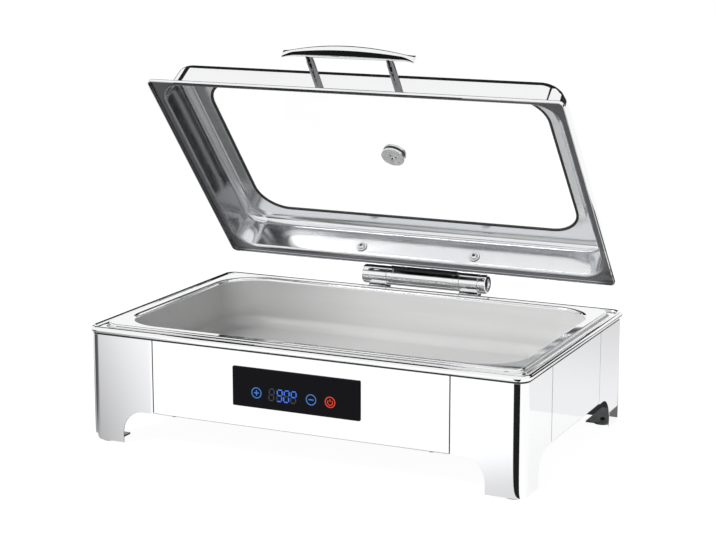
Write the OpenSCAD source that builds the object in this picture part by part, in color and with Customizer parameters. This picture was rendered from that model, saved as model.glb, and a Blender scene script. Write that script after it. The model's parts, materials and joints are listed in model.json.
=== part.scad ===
// Electric chafing dish: a steel body on four arched legs, a water pan and a food pan over a
// heater plate, and a glass lid on a friction hinge, drawn part open.
// Millimetres, +Z up, the front faces -Y, and the floor is at Z = 0.

/* [Pans] */
// Width of the food pan over its flange
pan_w = 530; // [480:1:600]
// Depth of the food pan over its flange, front to back
pan_d = 325; // [300:1:380]
// Height of the food pan
pan_h = 65; // [45:1:90]
// Width of the food pan's flange
pan_flange = 14; // [10:0.5:18]
// Corner radius of the food pan's flange
pan_edge_r = 20; // [8:1:30]
// Corner radius of the food pan's mouth
pan_r = 52; // [40:1:64]
// Radius between the pans' walls and their bottoms
pan_foot_r = 16; // [8:1:24]
// Lean of the pans' walls, in degrees
pan_draft = 4; // [2:0.5:6]
// Turned-down edge of the food pan's flange
hem_h = 4.8; // [4:0.1:8]
// Sheet thickness of the pans
pan_t = 1; // [0.8:0.1:1.5]
// Gap between the walls of the two pans
pan_gap = 3; // [2:0.5:6]
// Depth of water under the food pan
water_h = 12; // [6:1:24]
// Reach of the water pan's flange past the food pan's
water_lip = 5; // [3:0.5:6]

/* [Body] */
// Reach of the body past the food pan's flange
rim_margin = 12.5; // [12:0.5:30]
// Sheet thickness of the body
sheet_t = 1.2; // [0.8:0.1:2]
// Radius of the body's upright corners
corner_r = 14; // [8:1:24]
// Width of a leg on each face of the body
leg_w = 87.5; // [80:0.5:120]
// Width of a leg at the floor
foot_w = 46; // [36:1:50]
// Radius of the arch beside a leg
arch_r = 28; // [16:1:32]
// Height of the panels' lower edge over the legs' feet
panel_lift = 40.5; // [34:0.5:70]
// Seam between a leg and a panel
seam = 0.8; // [0.4:0.1:2]
// Width of the strip behind each seam
strip_w = 12; // [8:1:20]
// Width of the panels' turned-in lower edge
return_w = 14; // [12:1:20]
// Diameter of the bead on the rim
bead_d = 8; // [6:0.5:12]
// Reach of the bead past the body
bead_out = 2.5; // [1:0.5:4]
// Height of the rim's skirt behind the panels
skirt_h = 12; // [8:1:20]
// Clearance round the water pan in the rim
rim_gap = 1.5; // [1:0.1:3]

/* [Feet] */
// Height of the rubber feet
pad_h = 3; // [2:0.5:8]
// Diameter of the rubber feet
pad_d = 24; // [16:1:28]
// Diameter of the feet's stems
stem_d = 6; // [4:0.5:10]
// Thickness of the foot plates
foot_plate_t = 2; // [1.5:0.5:4]

/* [Heater] */
// Height of the space between the tray and the water pan
under_h = 20.4; // [19:0.2:40]
// Width of the heater plate
heater_w = 380; // [340:1:420]
// Depth of the heater plate
heater_d = 200; // [180:1:230]
// Thickness of the heater plate
heater_t = 6; // [4:0.5:7]
// Diameter of the heating element
element_d = 8; // [6:0.5:8.5]
// Distance between the element's two runs
element_pitch = 110; // [80:1:140]
// Diameter of the wiring leads
lead_d = 4; // [3:0.5:5]

/* [Controls] */
// Width of the touch glass
touch_w = 162.5; // [150:0.5:200]
// Height of the touch glass
touch_h = 47; // [44:0.5:60]
// Thickness of the touch glass
touch_t = 1.6; // [1:0.1:2.4]
// Height of the touch glass's middle over the panels' lower edge
touch_rise = 48.5; // [40:0.5:54]
// Width of the border of the glass round the window
touch_border = 6; // [4:0.5:8]
// Distance from the panel's face to the control board
board_gap = 10; // [8:0.5:12]
// Width of the power inlet's socket
inlet_w = 27; // [24:0.5:30]
// Height of the power inlet's socket
inlet_h = 20; // [18:0.5:22]
// Distance between the power inlet's screws
inlet_pitch = 40; // [38:0.5:46]
// Distance of the power inlet's middle from the back panel's end
inlet_end = 59.2; // [50:0.2:80]

/* [Hinge] */
// Distance from the body's back to the hinge axis
hinge_back = 27; // [18:0.5:40]
// Height of the hinge axis over the lid's flange
hinge_rise = 7; // [5:0.1:16]
// Diameter of the hinge barrel
barrel_d = 25.5; // [22:0.5:32]
// Length of the hinge barrel
barrel_len = 102; // [90:1:130]
// Length of a hinge sleeve
sleeve_len = 25; // [18:1:36]
// Diameter of the hinge pin
pin_d = 10; // [8:0.5:12]
// Length of the left end cap
left_cap_len = 11; // [8:1:20]
// Length of the right collar
collar_len = 3; // [2:0.5:16]
// Length of the right end cap
right_cap_len = 8; // [7:0.1:20]
// Thickness of the base bracket's plate
bracket_t = 3; // [3:0.5:5]
// Height of the base bracket's plate
bracket_h = 34; // [28:1:50]

/* [Lid] */
// Angle at which the lid stands open
lid_open = 49.2; // [20:0.1:80]
// Reach of the lid's flange past the food pan's
lid_over = 3; // [2.5:0.05:3.5]
// Width of the lid's flange
lid_flange = 10; // [9:0.5:20]
// Turned-down edge of the lid's flange
lid_lip = 3.5; // [2:0.1:3.6]
// Corner radius of the lid's flange
lid_edge_r = 7; // [3:0.5:14]
// Corner radius of the lid's wall
lid_r = 32; // [30:1:48]
// Height of the lid
lid_h = 46; // [44:1:80]
// Lean of the lid's wall, in degrees
lid_draft = 5; // [2:0.5:8]
// Radius of the lid's shoulder
shoulder_r = 14; // [6:0.5:15]
// Sheet thickness of the lid
lid_t = 1.2; // [0.8:0.1:1.6]
// Distance from the lid's wall to the glass's pocket
pocket_in = 24.5; // [20:0.5:26]
// Width of the ledge that carries the glass
ledge_w = 8.5; // [6:0.5:14]
// Corner radius of the lid's window
window_r = 42; // [30:1:50]
// Thickness of the lid's glass
glass_t = 3; // [3:0.5:6]
// Thickness of the glass's seal
seal_t = 0.8; // [0.5:0.1:2]
// Gap between the closed lid and the food pan
lid_gap = 0.3; // [0.2:0.1:1]

/* [Handle and vent] */
// Height of the handle's posts on the lid's wall
handle_rise = 27; // [18:0.5:29]
// Distance of a handle post from the middle
post_x = 52; // [40:0.2:70]
// Diameter of the handle posts
post_d = 9.5; // [8:0.5:14]
// Length of the handle posts
post_len = 32; // [30:1:50]
// Half the length of the handle bar
bar_half = 87; // [80:1:110]
// Thickness of the handle bar at its middle
bar_mid = 18; // [14:0.5:20]
// Thickness of the handle bar at its tips
bar_tip = 6; // [5:0.5:8]
// Width of the handle bar
bar_w = 12; // [10:0.5:16]
// Diameter of the vent's discs
vent_d = 30; // [26:1:40]
// Thickness of the vent's discs
vent_t = 3; // [2:0.5:5]

/* [Hidden] */
$fn = 64;

STEEL = [0.86, 0.87, 0.88];
SATIN = [0.72, 0.73, 0.74];
CHROME = [0.9, 0.91, 0.92];
BLACK = [0.04, 0.04, 0.05];
RUBBER = [0.07, 0.07, 0.07];
GLASS = [0.85, 0.93, 0.92, 0.35];
BOARD = [0.05, 0.3, 0.16];
ALUMINIUM = [0.66, 0.67, 0.69];

// Clearances: parts that lie side by side, screws in their holes and the running fit of the pin
side_gap = 0.3;
hole_gap = 0.1;
run_gap = 0.05;
// Length by which a cut runs past the face that it leaves
past = 1;

// Heights over the floor
leg_z = pad_h;
panel_z = leg_z + panel_lift;
tray_z = panel_z + sheet_t;
tray_top = tray_z + sheet_t;
water_z = tray_top + under_h;
food_bottom_z = water_z + pan_t + water_h;
food_z = food_bottom_z + pan_h;
ledge_z = food_z - hem_h - pan_t;
rim_z = ledge_z - bead_d / 2;
panel_h = rim_z - panel_z;
lid_z = food_z + lid_gap;
touch_z = panel_z + touch_rise;

// Plan of the body and the pans
body_w = pan_w + 2 * rim_margin;
body_d = pan_d + 2 * rim_margin;
half_w = body_w / 2;
half_d = body_d / 2;
mouth_w = pan_w - 2 * pan_flange;
mouth_d = pan_d - 2 * pan_flange;
pan_step = pan_t + pan_gap;
water_w = mouth_w + 2 * pan_step;
water_d = mouth_d + 2 * pan_step;
water_r = pan_r + pan_step;
rim_in = (body_w - water_w) / 2 - pan_t - rim_gap;
front_len = body_w - 2 * (leg_w + seam);
side_len = body_d - 2 * (leg_w + seam);
tray_gap = 1;
tray_in = 2 * sheet_t + tray_gap;
tray_screw_in = 24;
foot_back = 12;
foot_in = foot_w - foot_back;
foot_mid = (sheet_t + foot_in) / 2;
stem_past = 2;

// Heater
heater_z = water_z - heater_t;
element_z = heater_z - element_d / 2;
element_run = 0.35 * heater_w;
heater_corner_r = 12;
heater_post_in_x = 20;
heater_post_in_y = 14;
heater_post_x = heater_w / 2 - heater_post_in_x;
heater_post_y = heater_d / 2 - heater_post_in_y;
heater_post_d = 10;
screw_d = 4;
screw_past = 2;
head_d = 8;
head_h = 2.2;
small_head_h = 1.8;
cutout_d = 16;
cutout_tab_len = 3;
cutout_tab_w = 4;
sensor_x = 60;
sensor_len = 24;
lead_z = tray_top + lead_d / 2 + side_gap;

// Controls
board_t = 1.6;
board_past_x = 2;
board_past_z = 3;
board_w = touch_w + 2 * board_past_x;
board_h = touch_h + 2 * board_past_z;
board_y = -half_d + board_gap;
window_w = touch_w - 2 * touch_border;
window_h = touch_h - 2 * touch_border;
board_post_out = 4;
board_post_x = window_w / 2 + board_post_out;
board_post_z = window_h / 2 + board_post_out;
board_post_d = 5;
board_screw_d = 2.6;
icon_drop = 5.5;
display_mid = -17;
display_w = 50;
display_h = 22;
plus_x = -50;
minus_x = 20;
power_x = 44;
touch_pad_d = 10;
chip_x = -20;
chip_rise = 6;
chip_w = 22;
chip_h = 14;
plug_h = 12;
plug_d = 8;
plug_y = board_y + board_t + plug_d / 2;
plug_z = touch_z - board_h / 2;
power_plug_x = 62;
heater_plug_x = -40;
sensor_plug_x = 10;
inlet_x = front_len / 2 - inlet_end;
inlet_z = panel_z + 0.42 * panel_h;
inlet_flange_t = 2.5;
inlet_depth = 15;
inlet_wall = 1.6;
inlet_margin_x = 5;
inlet_margin_z = 3;
inlet_screw_d = 3;
inlet_head_d = 5.6;
inlet_screw_past = 4;
inlet_lead_y = half_d - sheet_t - inlet_depth / 2;
blade_pitch = 7;
blade_w = 2;
blade_h = 4;
blade_back = 4;
power_lead_side = 30;
lead_bend_r = 2.2 * lead_d;

// Hinge
hinge_y = half_d + hinge_back;
hinge_z = lid_z + hinge_rise;
barrel_r = barrel_d / 2;
barrel_wall = 3.5;
barrel_in_d = barrel_d - 2 * barrel_wall;
knuckle_gap = 0.5;
sleeve_out = barrel_len / 2 + knuckle_gap + sleeve_len;
bush_len = 14;
collar_step = 0.8;
dish_depth = 1.5;
bracket_drop = 2;
bracket_top = rim_z - bracket_drop;
bracket_bottom = bracket_top - bracket_h;
bracket_screw_in_x = 16;
bracket_screw_in_z = 6;
bracket_screw_x = barrel_len / 2 - bracket_screw_in_x;
backing_h = rim_z - skirt_h - side_gap - bracket_bottom;
bracket_screw_z = backing_h / 2 - bracket_screw_in_z;
bracket_screw_d = 5;
bracket_head_d = 9;
bracket_head_h = 3;
lid_plate_past = 16;
lid_plate_w = 2 * (sleeve_out + lid_plate_past);
lid_plate_t = 2.5;
lid_plate_h = 26;
lid_plate_rise = 2.5;
lid_web_in = 5;
lid_web_w = barrel_len - 2 * lid_web_in;
lid_web_t = 4;
lid_web_up = 0.55 * barrel_r;
lid_screw_out = 2.5;
lid_screw_x = sleeve_out + lid_screw_out;
lid_screw_rise = 12;
lid_screw_d = 5;
lid_screw_past = 6;
lid_head_d = 9;
lid_head_h = 3;
lid_nut_d = 9.2;
lid_nut_h = 4;
washer_d = 14;
washer_t = 1;

// Lid
lid_w = pan_w + 2 * lid_over;
lid_d = pan_d + 2 * lid_over;
wall_w = lid_w - 2 * lid_flange;
wall_d = lid_d - 2 * lid_flange;
pocket_w = wall_w - 2 * pocket_in;
pocket_d = wall_d - 2 * pocket_in;
pocket_r = window_r + ledge_w;
deck_lap = 2;
deck_in = pocket_in - deck_lap;
window_open_w = pocket_w - 2 * ledge_w;
window_open_d = pocket_d - 2 * ledge_w;
glass_gap = 0.5;
glass_w = pocket_w - 2 * (lid_t + glass_gap);
glass_d = pocket_d - 2 * (lid_t + glass_gap);
glass_r = pocket_r - lid_t - glass_gap;
glass_sink = 0.2;
glass_z = lid_h - glass_sink - glass_t;
ledge_top = glass_z - seal_t;
seal_show = 1;

// Vent, from the lid's flange up
vent_hole_d = 12;
vent_tube_gap = 0.2;
vent_tube_d = vent_hole_d - 2 * vent_tube_gap;
vent_seal_t = 1;
vent_seal_in = 1;
dial_z = glass_z + glass_t + vent_seal_t + side_gap;
vent_bolt_d = 4;
vent_bolt_past = 4;
vent_head_d = 5.4;
vent_head_h = 1.6;
vent_nut_d = 7;
vent_nut_h = 3;
steam_d = 2.2;
steam_at = 4;

// The middle of the whole object from front to back, which lies over the origin
mid_y = (hinge_y + barrel_r - half_d - bead_out) / 2;

// Moves what is drawn about the body's middle to its place
module in_place() {
    translate([0, -mid_y, 0])
        children();
}

// Moves what is drawn on the closed lid, up from its flange, to the open lid
module on_lid() {
    in_place()
        translate([0, hinge_y, hinge_z])
            rotate([-lid_open, 0, 0])
                translate([0, -hinge_y, -hinge_rise])
                    children();
}

// Lays a shape on the outer face of the lid's back wall: +Y leaves the wall, +Z climbs it
module on_back_wall() {
    translate([0, wall_d / 2, lid_t])
        rotate([lid_draft, 0, 0])
            children();
}

// The same on the lid's front wall
module on_front_wall() {
    rotate([0, 0, 180])
        on_back_wall()
            children();
}

// A round bar along X, from x0 to x1
module bar_x(x0, x1, d) {
    translate([x0, 0, 0])
        rotate([0, 90, 0])
            cylinder(h = x1 - x0, d = d);
}

// A round bar along Y, from y0 to y1
module bar_y(y0, y1, d) {
    translate([0, y0, 0])
        rotate([-90, 0, 0])
            cylinder(h = y1 - y0, d = d);
}

// A rectangle with round corners
module rounded_rect(w, d, r) {
    square([w - 2 * r, d], center = true);
    square([w, d - 2 * r], center = true);
    for (sx = [-1, 1], sy = [-1, 1])
        translate([sx * (w / 2 - r), sy * (d / 2 - r)])
            circle(r);
}

// A flat ring between two rounded rectangles
module flat_ring(w, d, r, inner_w, inner_d, inner_r, h) {
    linear_extrude(h)
        difference() {
            rounded_rect(w, d, r);
            rounded_rect(inner_w, inner_d, inner_r);
        }
}

// Carries a profile round a rounded rectangle: the profile's X points outwards and its Y up
module sweep(w, d, r) {
    for (turn = [0, 180])
        rotate([0, 0, turn]) {
            translate([w / 2, 0, 0])
                rotate([90, 0, 0])
                    linear_extrude(d - 2 * r, center = true)
                        children();
            rotate([0, 0, 90])
                translate([d / 2, 0, 0])
                    rotate([90, 0, 0])
                        linear_extrude(w - 2 * r, center = true)
                            children();
            translate([w / 2 - r, d / 2 - r, 0])
                rotate_extrude(angle = 90)
                    translate([r, 0])
                        children();
            translate([r - w / 2, d / 2 - r, 0])
                rotate([0, 0, 90])
                    rotate_extrude(angle = 90)
                        translate([r, 0])
                            children();
        }
}

// Repeats a shape at the four corners of a rectangle
module at_corners(x, y) {
    for (sx = [-1, 1], sy = [-1, 1])
        translate([sx * x, sy * y, 0])
            children();
}

// A screw that points down along -Z, with its head above Z = 0
module screw(d, length, head, head_height) {
    translate([0, 0, -length])
        cylinder(h = length, d = d);
    cylinder(h = head_height, d = head);
}

// Panels: drawn along X with the outer face at Y = 0, then turned to their sides
module panel(length) {
    translate([-length / 2, 0, panel_z]) {
        cube([length, sheet_t, panel_h]);
        cube([length, return_w, sheet_t]);
    }
}

function tray_screw_xs(length) = [tray_screw_in - length / 2, length / 2 - tray_screw_in];

module panel_screw_holes(length) {
    for (x = tray_screw_xs(length))
        translate([x, return_w / 2 + sheet_t, panel_z - past])
            cylinder(h = 2 * sheet_t + 2 * past, d = screw_d + 2 * hole_gap);
}

module front_panel() {
    color(STEEL)
        in_place()
            translate([0, -half_d, 0])
                difference() {
                    panel(front_len);
                    panel_screw_holes(front_len);
                    translate([-window_w / 2, -past, touch_z - window_h / 2])
                        cube([window_w, sheet_t + 2 * past, window_h]);
                }
}

module bracket_screw_places() {
    for (x = [-1, 1], z = [-1, 1])
        translate([x * bracket_screw_x, 0, bracket_bottom + backing_h / 2 + z * bracket_screw_z])
            children();
}

module back_panel() {
    color(STEEL)
        in_place()
            rotate([0, 0, 180])
                translate([0, -half_d, 0])
                    difference() {
                        panel(front_len);
                        panel_screw_holes(front_len);
                        bracket_screw_places()
                            bar_y(-past, sheet_t + past, bracket_screw_d + 2 * hole_gap);
                        translate([-inlet_x, 0, inlet_z]) {
                            translate([-inlet_w / 2 - side_gap, -past, -inlet_h / 2 - side_gap])
                                cube([
                                    inlet_w + 2 * side_gap,
                                    sheet_t + 2 * past,
                                    inlet_h + 2 * side_gap
                                ]);
                            for (side = [-1, 1])
                                translate([side * inlet_pitch / 2, 0, 0])
                                    bar_y(-past, sheet_t + past, inlet_screw_d + 2 * hole_gap);
                        }
                    }
}

module side_panel(turn) {
    color(STEEL)
        in_place()
            rotate([0, 0, turn])
                translate([0, -half_w, 0])
                    difference() {
                        panel(side_len);
                        panel_screw_holes(side_len);
                    }
}

module left_panel() {
    side_panel(-90);
}

module right_panel() {
    side_panel(90);
}

// The opening beside a leg's foot, in the plane of one face, measured from the body's corner
module arch() {
    reach = leg_w + strip_w;
    translate([foot_w, leg_z - past])
        square([reach, panel_lift - arch_r + past]);
    translate([foot_w + arch_r, leg_z - past])
        square([reach, panel_lift + past]);
    translate([foot_w + arch_r, panel_z - arch_r])
        circle(arch_r);
}

// The strip behind one seam, on the face along X
module seam_strip() {
    strip_z = tray_z + side_gap;
    translate([leg_w - strip_w / 2, sheet_t, strip_z])
        cube([strip_w * 1.5 + seam, sheet_t, rim_z - skirt_h - side_gap - strip_z]);
}

// The corner of the body's plan, inset from its faces, with the body's corner at the origin
module corner_plan(inset) {
    r = corner_r - inset;
    reach = leg_w + corner_r;
    translate([inset + r, inset])
        square(reach);
    translate([inset, inset + r])
        square(reach);
    translate([inset + r, inset + r])
        circle(r);
}

// A leg whose corner lies at the origin, with its faces along +X and +Y
module leg() {
    color(STEEL) {
        difference() {
            translate([0, 0, leg_z])
                linear_extrude(rim_z - leg_z)
                    intersection() {
                        difference() {
                            corner_plan(0);
                            corner_plan(sheet_t);
                        }
                        square(leg_w);
                    }
            translate([0, leg_w / 2, 0])
                rotate([90, 0, 0])
                    linear_extrude(leg_w)
                        arch();
            translate([leg_w / 2, 0, 0])
                rotate([90, 0, 90])
                    translate([0, 0, -leg_w])
                        linear_extrude(leg_w)
                            arch();
        }
        seam_strip();
        mirror([1, -1, 0])
            seam_strip();
    }
}

// Puts what is drawn at a leg's corner in its place: sides are -1 or 1
module at_leg(side_x, side_y) {
    in_place()
        translate([side_x * half_w, side_y * half_d, 0])
            mirror([side_x > 0 ? 1 : 0, 0, 0])
                mirror([0, side_y > 0 ? 1 : 0, 0])
                    children();
}

module leg_front_left() {
    at_leg(-1, -1)
        leg();
}

module leg_front_right() {
    at_leg(1, -1)
        leg();
}

module leg_back_left() {
    at_leg(-1, 1)
        leg();
}

module leg_back_right() {
    at_leg(1, 1)
        leg();
}

module foot_plates() {
    color(SATIN)
        for (side_x = [-1, 1], side_y = [-1, 1])
            at_leg(side_x, side_y)
                difference() {
                    translate([0, 0, leg_z])
                        linear_extrude(foot_plate_t)
                            intersection() {
                                corner_plan(sheet_t);
                                square(foot_in);
                            }
                    translate([foot_mid, foot_mid, leg_z - past])
                        cylinder(h = foot_plate_t + 2 * past, d = stem_d + 2 * hole_gap);
                }
}

module rubber_feet() {
    color(RUBBER)
        in_place()
            at_corners(half_w - foot_mid, half_d - foot_mid) {
                cylinder(h = pad_h, d = pad_d);
                cylinder(h = pad_h + foot_plate_t + stem_past, d = stem_d);
            }
}

// The rim's section: bead, ledge and skirt, with X = 0 at the body's face
module rim_profile() {
    translate([bead_out - bead_d / 2, ledge_z])
        circle(d = bead_d);
    translate([-corner_r / 2, ledge_z - sheet_t])
        square([corner_r / 2 + bead_out - bead_d / 2, sheet_t]);
    translate([-2 * sheet_t, rim_z - skirt_h])
        square([sheet_t, ledge_z - rim_z + skirt_h]);
}

module top_rim() {
    color(STEEL)
        in_place()
            union() {
                sweep(body_w, body_d, corner_r)
                    rim_profile();
                translate([0, 0, ledge_z - sheet_t])
                    flat_ring(
                        body_w - bead_d, body_d - bead_d, corner_r - bead_d / 2,
                        body_w - 2 * rim_in, body_d - 2 * rim_in, water_r + pan_t + rim_gap,
                        sheet_t
                    );
            }
}

module bottom_tray() {
    color(SATIN)
        in_place()
            difference() {
                translate([0, 0, tray_z])
                    linear_extrude(sheet_t)
                        rounded_rect(body_w - 2 * tray_in, body_d - 2 * tray_in, corner_r);
                tray_screw_places()
                    translate([0, 0, -past])
                        cylinder(h = panel_h, d = screw_d + 2 * hole_gap);
                at_corners(heater_post_x, heater_post_y)
                    translate([0, 0, tray_z - past])
                        cylinder(h = sheet_t + 2 * past, d = screw_d + 2 * hole_gap);
            }
}

// The tray's screws, on the panels' lower edge
module tray_screw_places() {
    for (turn = [0, 180], x = tray_screw_xs(front_len))
        rotate([0, 0, turn])
            translate([x, return_w / 2 + sheet_t - half_d, panel_z])
                children();
    for (turn = [-90, 90], x = tray_screw_xs(side_len))
        rotate([0, 0, turn])
            translate([x, return_w / 2 + sheet_t - half_w, panel_z])
                children();
}

module tray_screws() {
    color(CHROME)
        in_place()
            tray_screw_places()
                mirror([0, 0, 1])
                    screw(screw_d, 2 * sheet_t + screw_past, head_d, head_h);
}

// A pan's section, X = 0 on the inside of its mouth and Y = 0 at the top of its flange:
// a leaning wall with a round foot down to the inside depth
module pan_profile(depth, foot_r) {
    lean = tan(pan_draft);
    wall_run = pan_t / cos(pan_draft);
    foot_x = -(depth - foot_r) * lean - foot_r / cos(pan_draft);
    touch_x = foot_x + foot_r * cos(pan_draft);
    touch_y = foot_r - depth - foot_r * sin(pan_draft);
    difference() {
        union() {
            polygon([
                [foot_x, 0],
                [wall_run, 0],
                [touch_x + pan_t * cos(pan_draft), touch_y - pan_t * sin(pan_draft)],
                [foot_x, foot_r - depth]
            ]);
            translate([foot_x, foot_r - depth])
                circle(foot_r + pan_t);
        }
        polygon([
            [foot_x - foot_r - pan_t - past, past],
            [lean * past, past],
            [touch_x, touch_y],
            [foot_x, foot_r - depth],
            [foot_x, -depth - pan_t - past],
            [foot_x - foot_r - pan_t - past, -depth - pan_t - past]
        ]);
        translate([foot_x, foot_r - depth])
            circle(foot_r);
    }
}

// The inset of a pan's flat bottom from its mouth
function pan_bottom_in(depth, foot_r) = (depth - foot_r) * tan(pan_draft) + foot_r / cos(pan_draft);

// A pan whose mouth is w by d, with a flat bottom under its round foot, flange not included
module pan_body(w, d, r, depth, foot_r) {
    inset = pan_bottom_in(depth, foot_r);
    sweep(w, d, r)
        pan_profile(depth, foot_r);
    translate([0, 0, -depth - pan_t])
        linear_extrude(pan_t)
            rounded_rect(w - 2 * inset + pan_t, d - 2 * inset + pan_t, r - inset + pan_t / 2);
}

module water_pan() {
    depth = ledge_z + pan_t - water_z - pan_t;
    flange_w = pan_w + 2 * water_lip;
    flange_d = pan_d + 2 * water_lip;
    color(SATIN)
        in_place()
            translate([0, 0, ledge_z + pan_t]) {
                pan_body(water_w, water_d, water_r, depth, pan_foot_r);
                translate([0, 0, -pan_t])
                    flat_ring(
                        flange_w, flange_d, pan_edge_r,
                        water_w, water_d, water_r,
                        pan_t
                    );
            }
}

module food_pan() {
    depth = pan_h - pan_t;
    color(SATIN)
        in_place()
            translate([0, 0, food_z]) {
                pan_body(mouth_w, mouth_d, pan_r, depth, pan_foot_r);
                translate([0, 0, -pan_t])
                    flat_ring(pan_w, pan_d, pan_edge_r, mouth_w, mouth_d, pan_r, pan_t);
                translate([0, 0, -hem_h])
                    flat_ring(
                        pan_w, pan_d, pan_edge_r,
                        pan_w - 2 * pan_t, pan_d - 2 * pan_t, pan_edge_r - pan_t,
                        hem_h
                    );
            }
}

module heater_plate() {
    color(ALUMINIUM)
        in_place()
            difference() {
                translate([0, 0, heater_z])
                    linear_extrude(heater_t)
                        rounded_rect(heater_w, heater_d, heater_corner_r);
                at_corners(heater_post_x, heater_post_y)
                    translate([0, 0, heater_z - past])
                        cylinder(h = heater_t / 2 + past, d = screw_d + 2 * hole_gap);
            }
}

// One bent tube: two straight runs and a half turn
module heating_element() {
    color(SATIN)
        in_place()
            translate([0, 0, element_z]) {
                for (side = [-1, 1])
                    translate([0, side * element_pitch / 2, 0])
                        bar_x(-element_run, element_run - element_pitch / 2, element_d);
                translate([element_run - element_pitch / 2, 0, 0])
                    rotate([0, 0, -90])
                        rotate_extrude(angle = 180)
                            translate([element_pitch / 2, 0])
                                circle(d = element_d);
            }
}

module heater_posts() {
    color(ALUMINIUM)
        in_place()
            at_corners(heater_post_x, heater_post_y)
                translate([0, 0, tray_top])
                    difference() {
                        cylinder(h = heater_z - tray_top, d = heater_post_d);
                        translate([0, 0, -past])
                            cylinder(h = under_h, d = screw_d + 2 * hole_gap);
                    }
}

module heater_screws() {
    color(CHROME)
        in_place()
            at_corners(heater_post_x, heater_post_y)
                translate([0, 0, tray_z])
                    mirror([0, 0, 1])
                        screw(screw_d, heater_z + heater_t / 2 - tray_z - side_gap, head_d, head_h);
}

module thermal_cutout() {
    color(BLACK)
        in_place()
            translate([0, 0, heater_z - element_d]) {
                cylinder(h = element_d, d = cutout_d);
                translate([-cutout_d / 2 - cutout_tab_len, -cutout_tab_w / 2, element_d / 2])
                    cube([cutout_d + 2 * cutout_tab_len, cutout_tab_w, element_d / 2]);
            }
}

module temperature_sensor() {
    color(CHROME)
        in_place()
            translate([sensor_x, 0, heater_z - element_d / 4])
                bar_x(-sensor_len / 2, sensor_len / 2, element_d / 2);
}

module touch_glass() {
    color(BLACK)
        in_place()
            translate([-touch_w / 2, -half_d - touch_t, touch_z - touch_h / 2])
                cube([touch_w, touch_t, touch_h]);
}

module display_module() {
    color(BLACK)
        in_place()
            translate([display_mid - display_w / 2, -half_d, touch_z - icon_drop - display_h / 2])
                cube([display_w, board_gap, display_h]);
}

module touch_pads() {
    color(CHROME)
        in_place()
            for (x = [plus_x, minus_x, power_x])
                translate([x, 0, touch_z - icon_drop])
                    bar_y(-half_d, board_y, touch_pad_d);
}

module control_board() {
    color(BOARD)
        in_place()
            difference() {
                union() {
                    translate([-board_w / 2, board_y, touch_z - board_h / 2])
                        cube([board_w, board_t, board_h]);
                    for (x = [power_plug_x, heater_plug_x, sensor_plug_x])
                        translate([x - plug_h / 2, board_y, plug_z])
                            cube([plug_h, board_t + plug_d, plug_h]);
                    translate([chip_x, board_y, touch_z + chip_rise])
                        cube([chip_w, board_t + plug_d, chip_h]);
                }
                board_post_places()
                    bar_y(board_y - past, board_y + board_t + past, board_screw_d + 2 * hole_gap);
            }
}

module board_post_places() {
    for (sx = [-1, 1], sz = [-1, 1])
        translate([sx * board_post_x, 0, touch_z + sz * board_post_z])
            children();
}

module board_posts() {
    color(ALUMINIUM)
        in_place()
            board_post_places()
                difference() {
                    bar_y(sheet_t - half_d, board_y, board_post_d);
                    bar_y(sheet_t - half_d + past, board_y + past, board_screw_d + 2 * hole_gap);
                }
}

module board_screws() {
    color(CHROME)
        in_place()
            board_post_places()
                translate([0, board_y + board_t, 0])
                    rotate([-90, 0, 0])
                        screw(board_screw_d, board_t + board_gap - sheet_t - 2 * past, board_post_d, small_head_h);
}

// An earthed appliance inlet: flange outside, socket through the back panel, three blades
module power_inlet() {
    flange_w = inlet_pitch + 2 * inlet_margin_x;
    flange_h = inlet_h + 2 * inlet_margin_z;
    blade_len = inlet_depth - blade_back;
    color(BLACK)
        in_place()
            translate([inlet_x, half_d, inlet_z]) {
                difference() {
                    union() {
                        translate([-flange_w / 2, 0, -flange_h / 2])
                            cube([flange_w, inlet_flange_t, flange_h]);
                        translate([-inlet_w / 2, -sheet_t - inlet_depth, -inlet_h / 2])
                            cube([inlet_w, inlet_depth + sheet_t, inlet_h]);
                    }
                    translate([inlet_wall - inlet_w / 2, -inlet_depth, inlet_wall - inlet_h / 2])
                        cube([
                            inlet_w - 2 * inlet_wall,
                            inlet_depth + inlet_flange_t + past,
                            inlet_h - 2 * inlet_wall
                        ]);
                    for (side = [-1, 1])
                        translate([side * inlet_pitch / 2, 0, 0])
                            bar_y(-past, inlet_flange_t + past, inlet_screw_d + 2 * hole_gap);
                }
                for (side = [-1, 0, 1])
                    translate([
                        side * blade_pitch - blade_w / 2,
                        -inlet_depth - past,
                        side == 0 ? -blade_h / 4 : blade_h / 2
                    ])
                        cube([blade_w, blade_len + past, blade_h]);
            }
}

module inlet_screws() {
    color(CHROME)
        in_place()
            for (side = [-1, 1])
                translate([inlet_x + side * inlet_pitch / 2, half_d + inlet_flange_t, inlet_z])
                    rotate([-90, 0, 0])
                        screw(inlet_screw_d, inlet_flange_t + sheet_t + inlet_screw_past, inlet_head_d, small_head_h);
}

// Leads: a round tube along a route with rounded corners
function unit(v) = v / norm(v);

function rounded_route(route, r, steps = 4) = concat(
    [route[0]],
    [
        for (i = [1 : len(route) - 2])
            let (
                before = route[i] + r * unit(route[i - 1] - route[i]),
                after = route[i] + r * unit(route[i + 1] - route[i])
            )
            for (k = [0 : steps])
                let (s = k / steps)
                pow(1 - s, 2) * before + 2 * s * (1 - s) * route[i] + s * s * after
    ],
    [route[len(route) - 1]]
);

function heading(route, i) = unit(route[min(i + 1, len(route) - 1)] - route[max(i - 1, 0)]);

// A direction square to the route at each point, carried along without twist
function side_at(route, i) =
    i == 0
    ? unit(cross(heading(route, 0), [0.3, 1, 0.2]))
    : let (last = side_at(route, i - 1), along = heading(route, i))
      unit(last - (last * along) * along);

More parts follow.
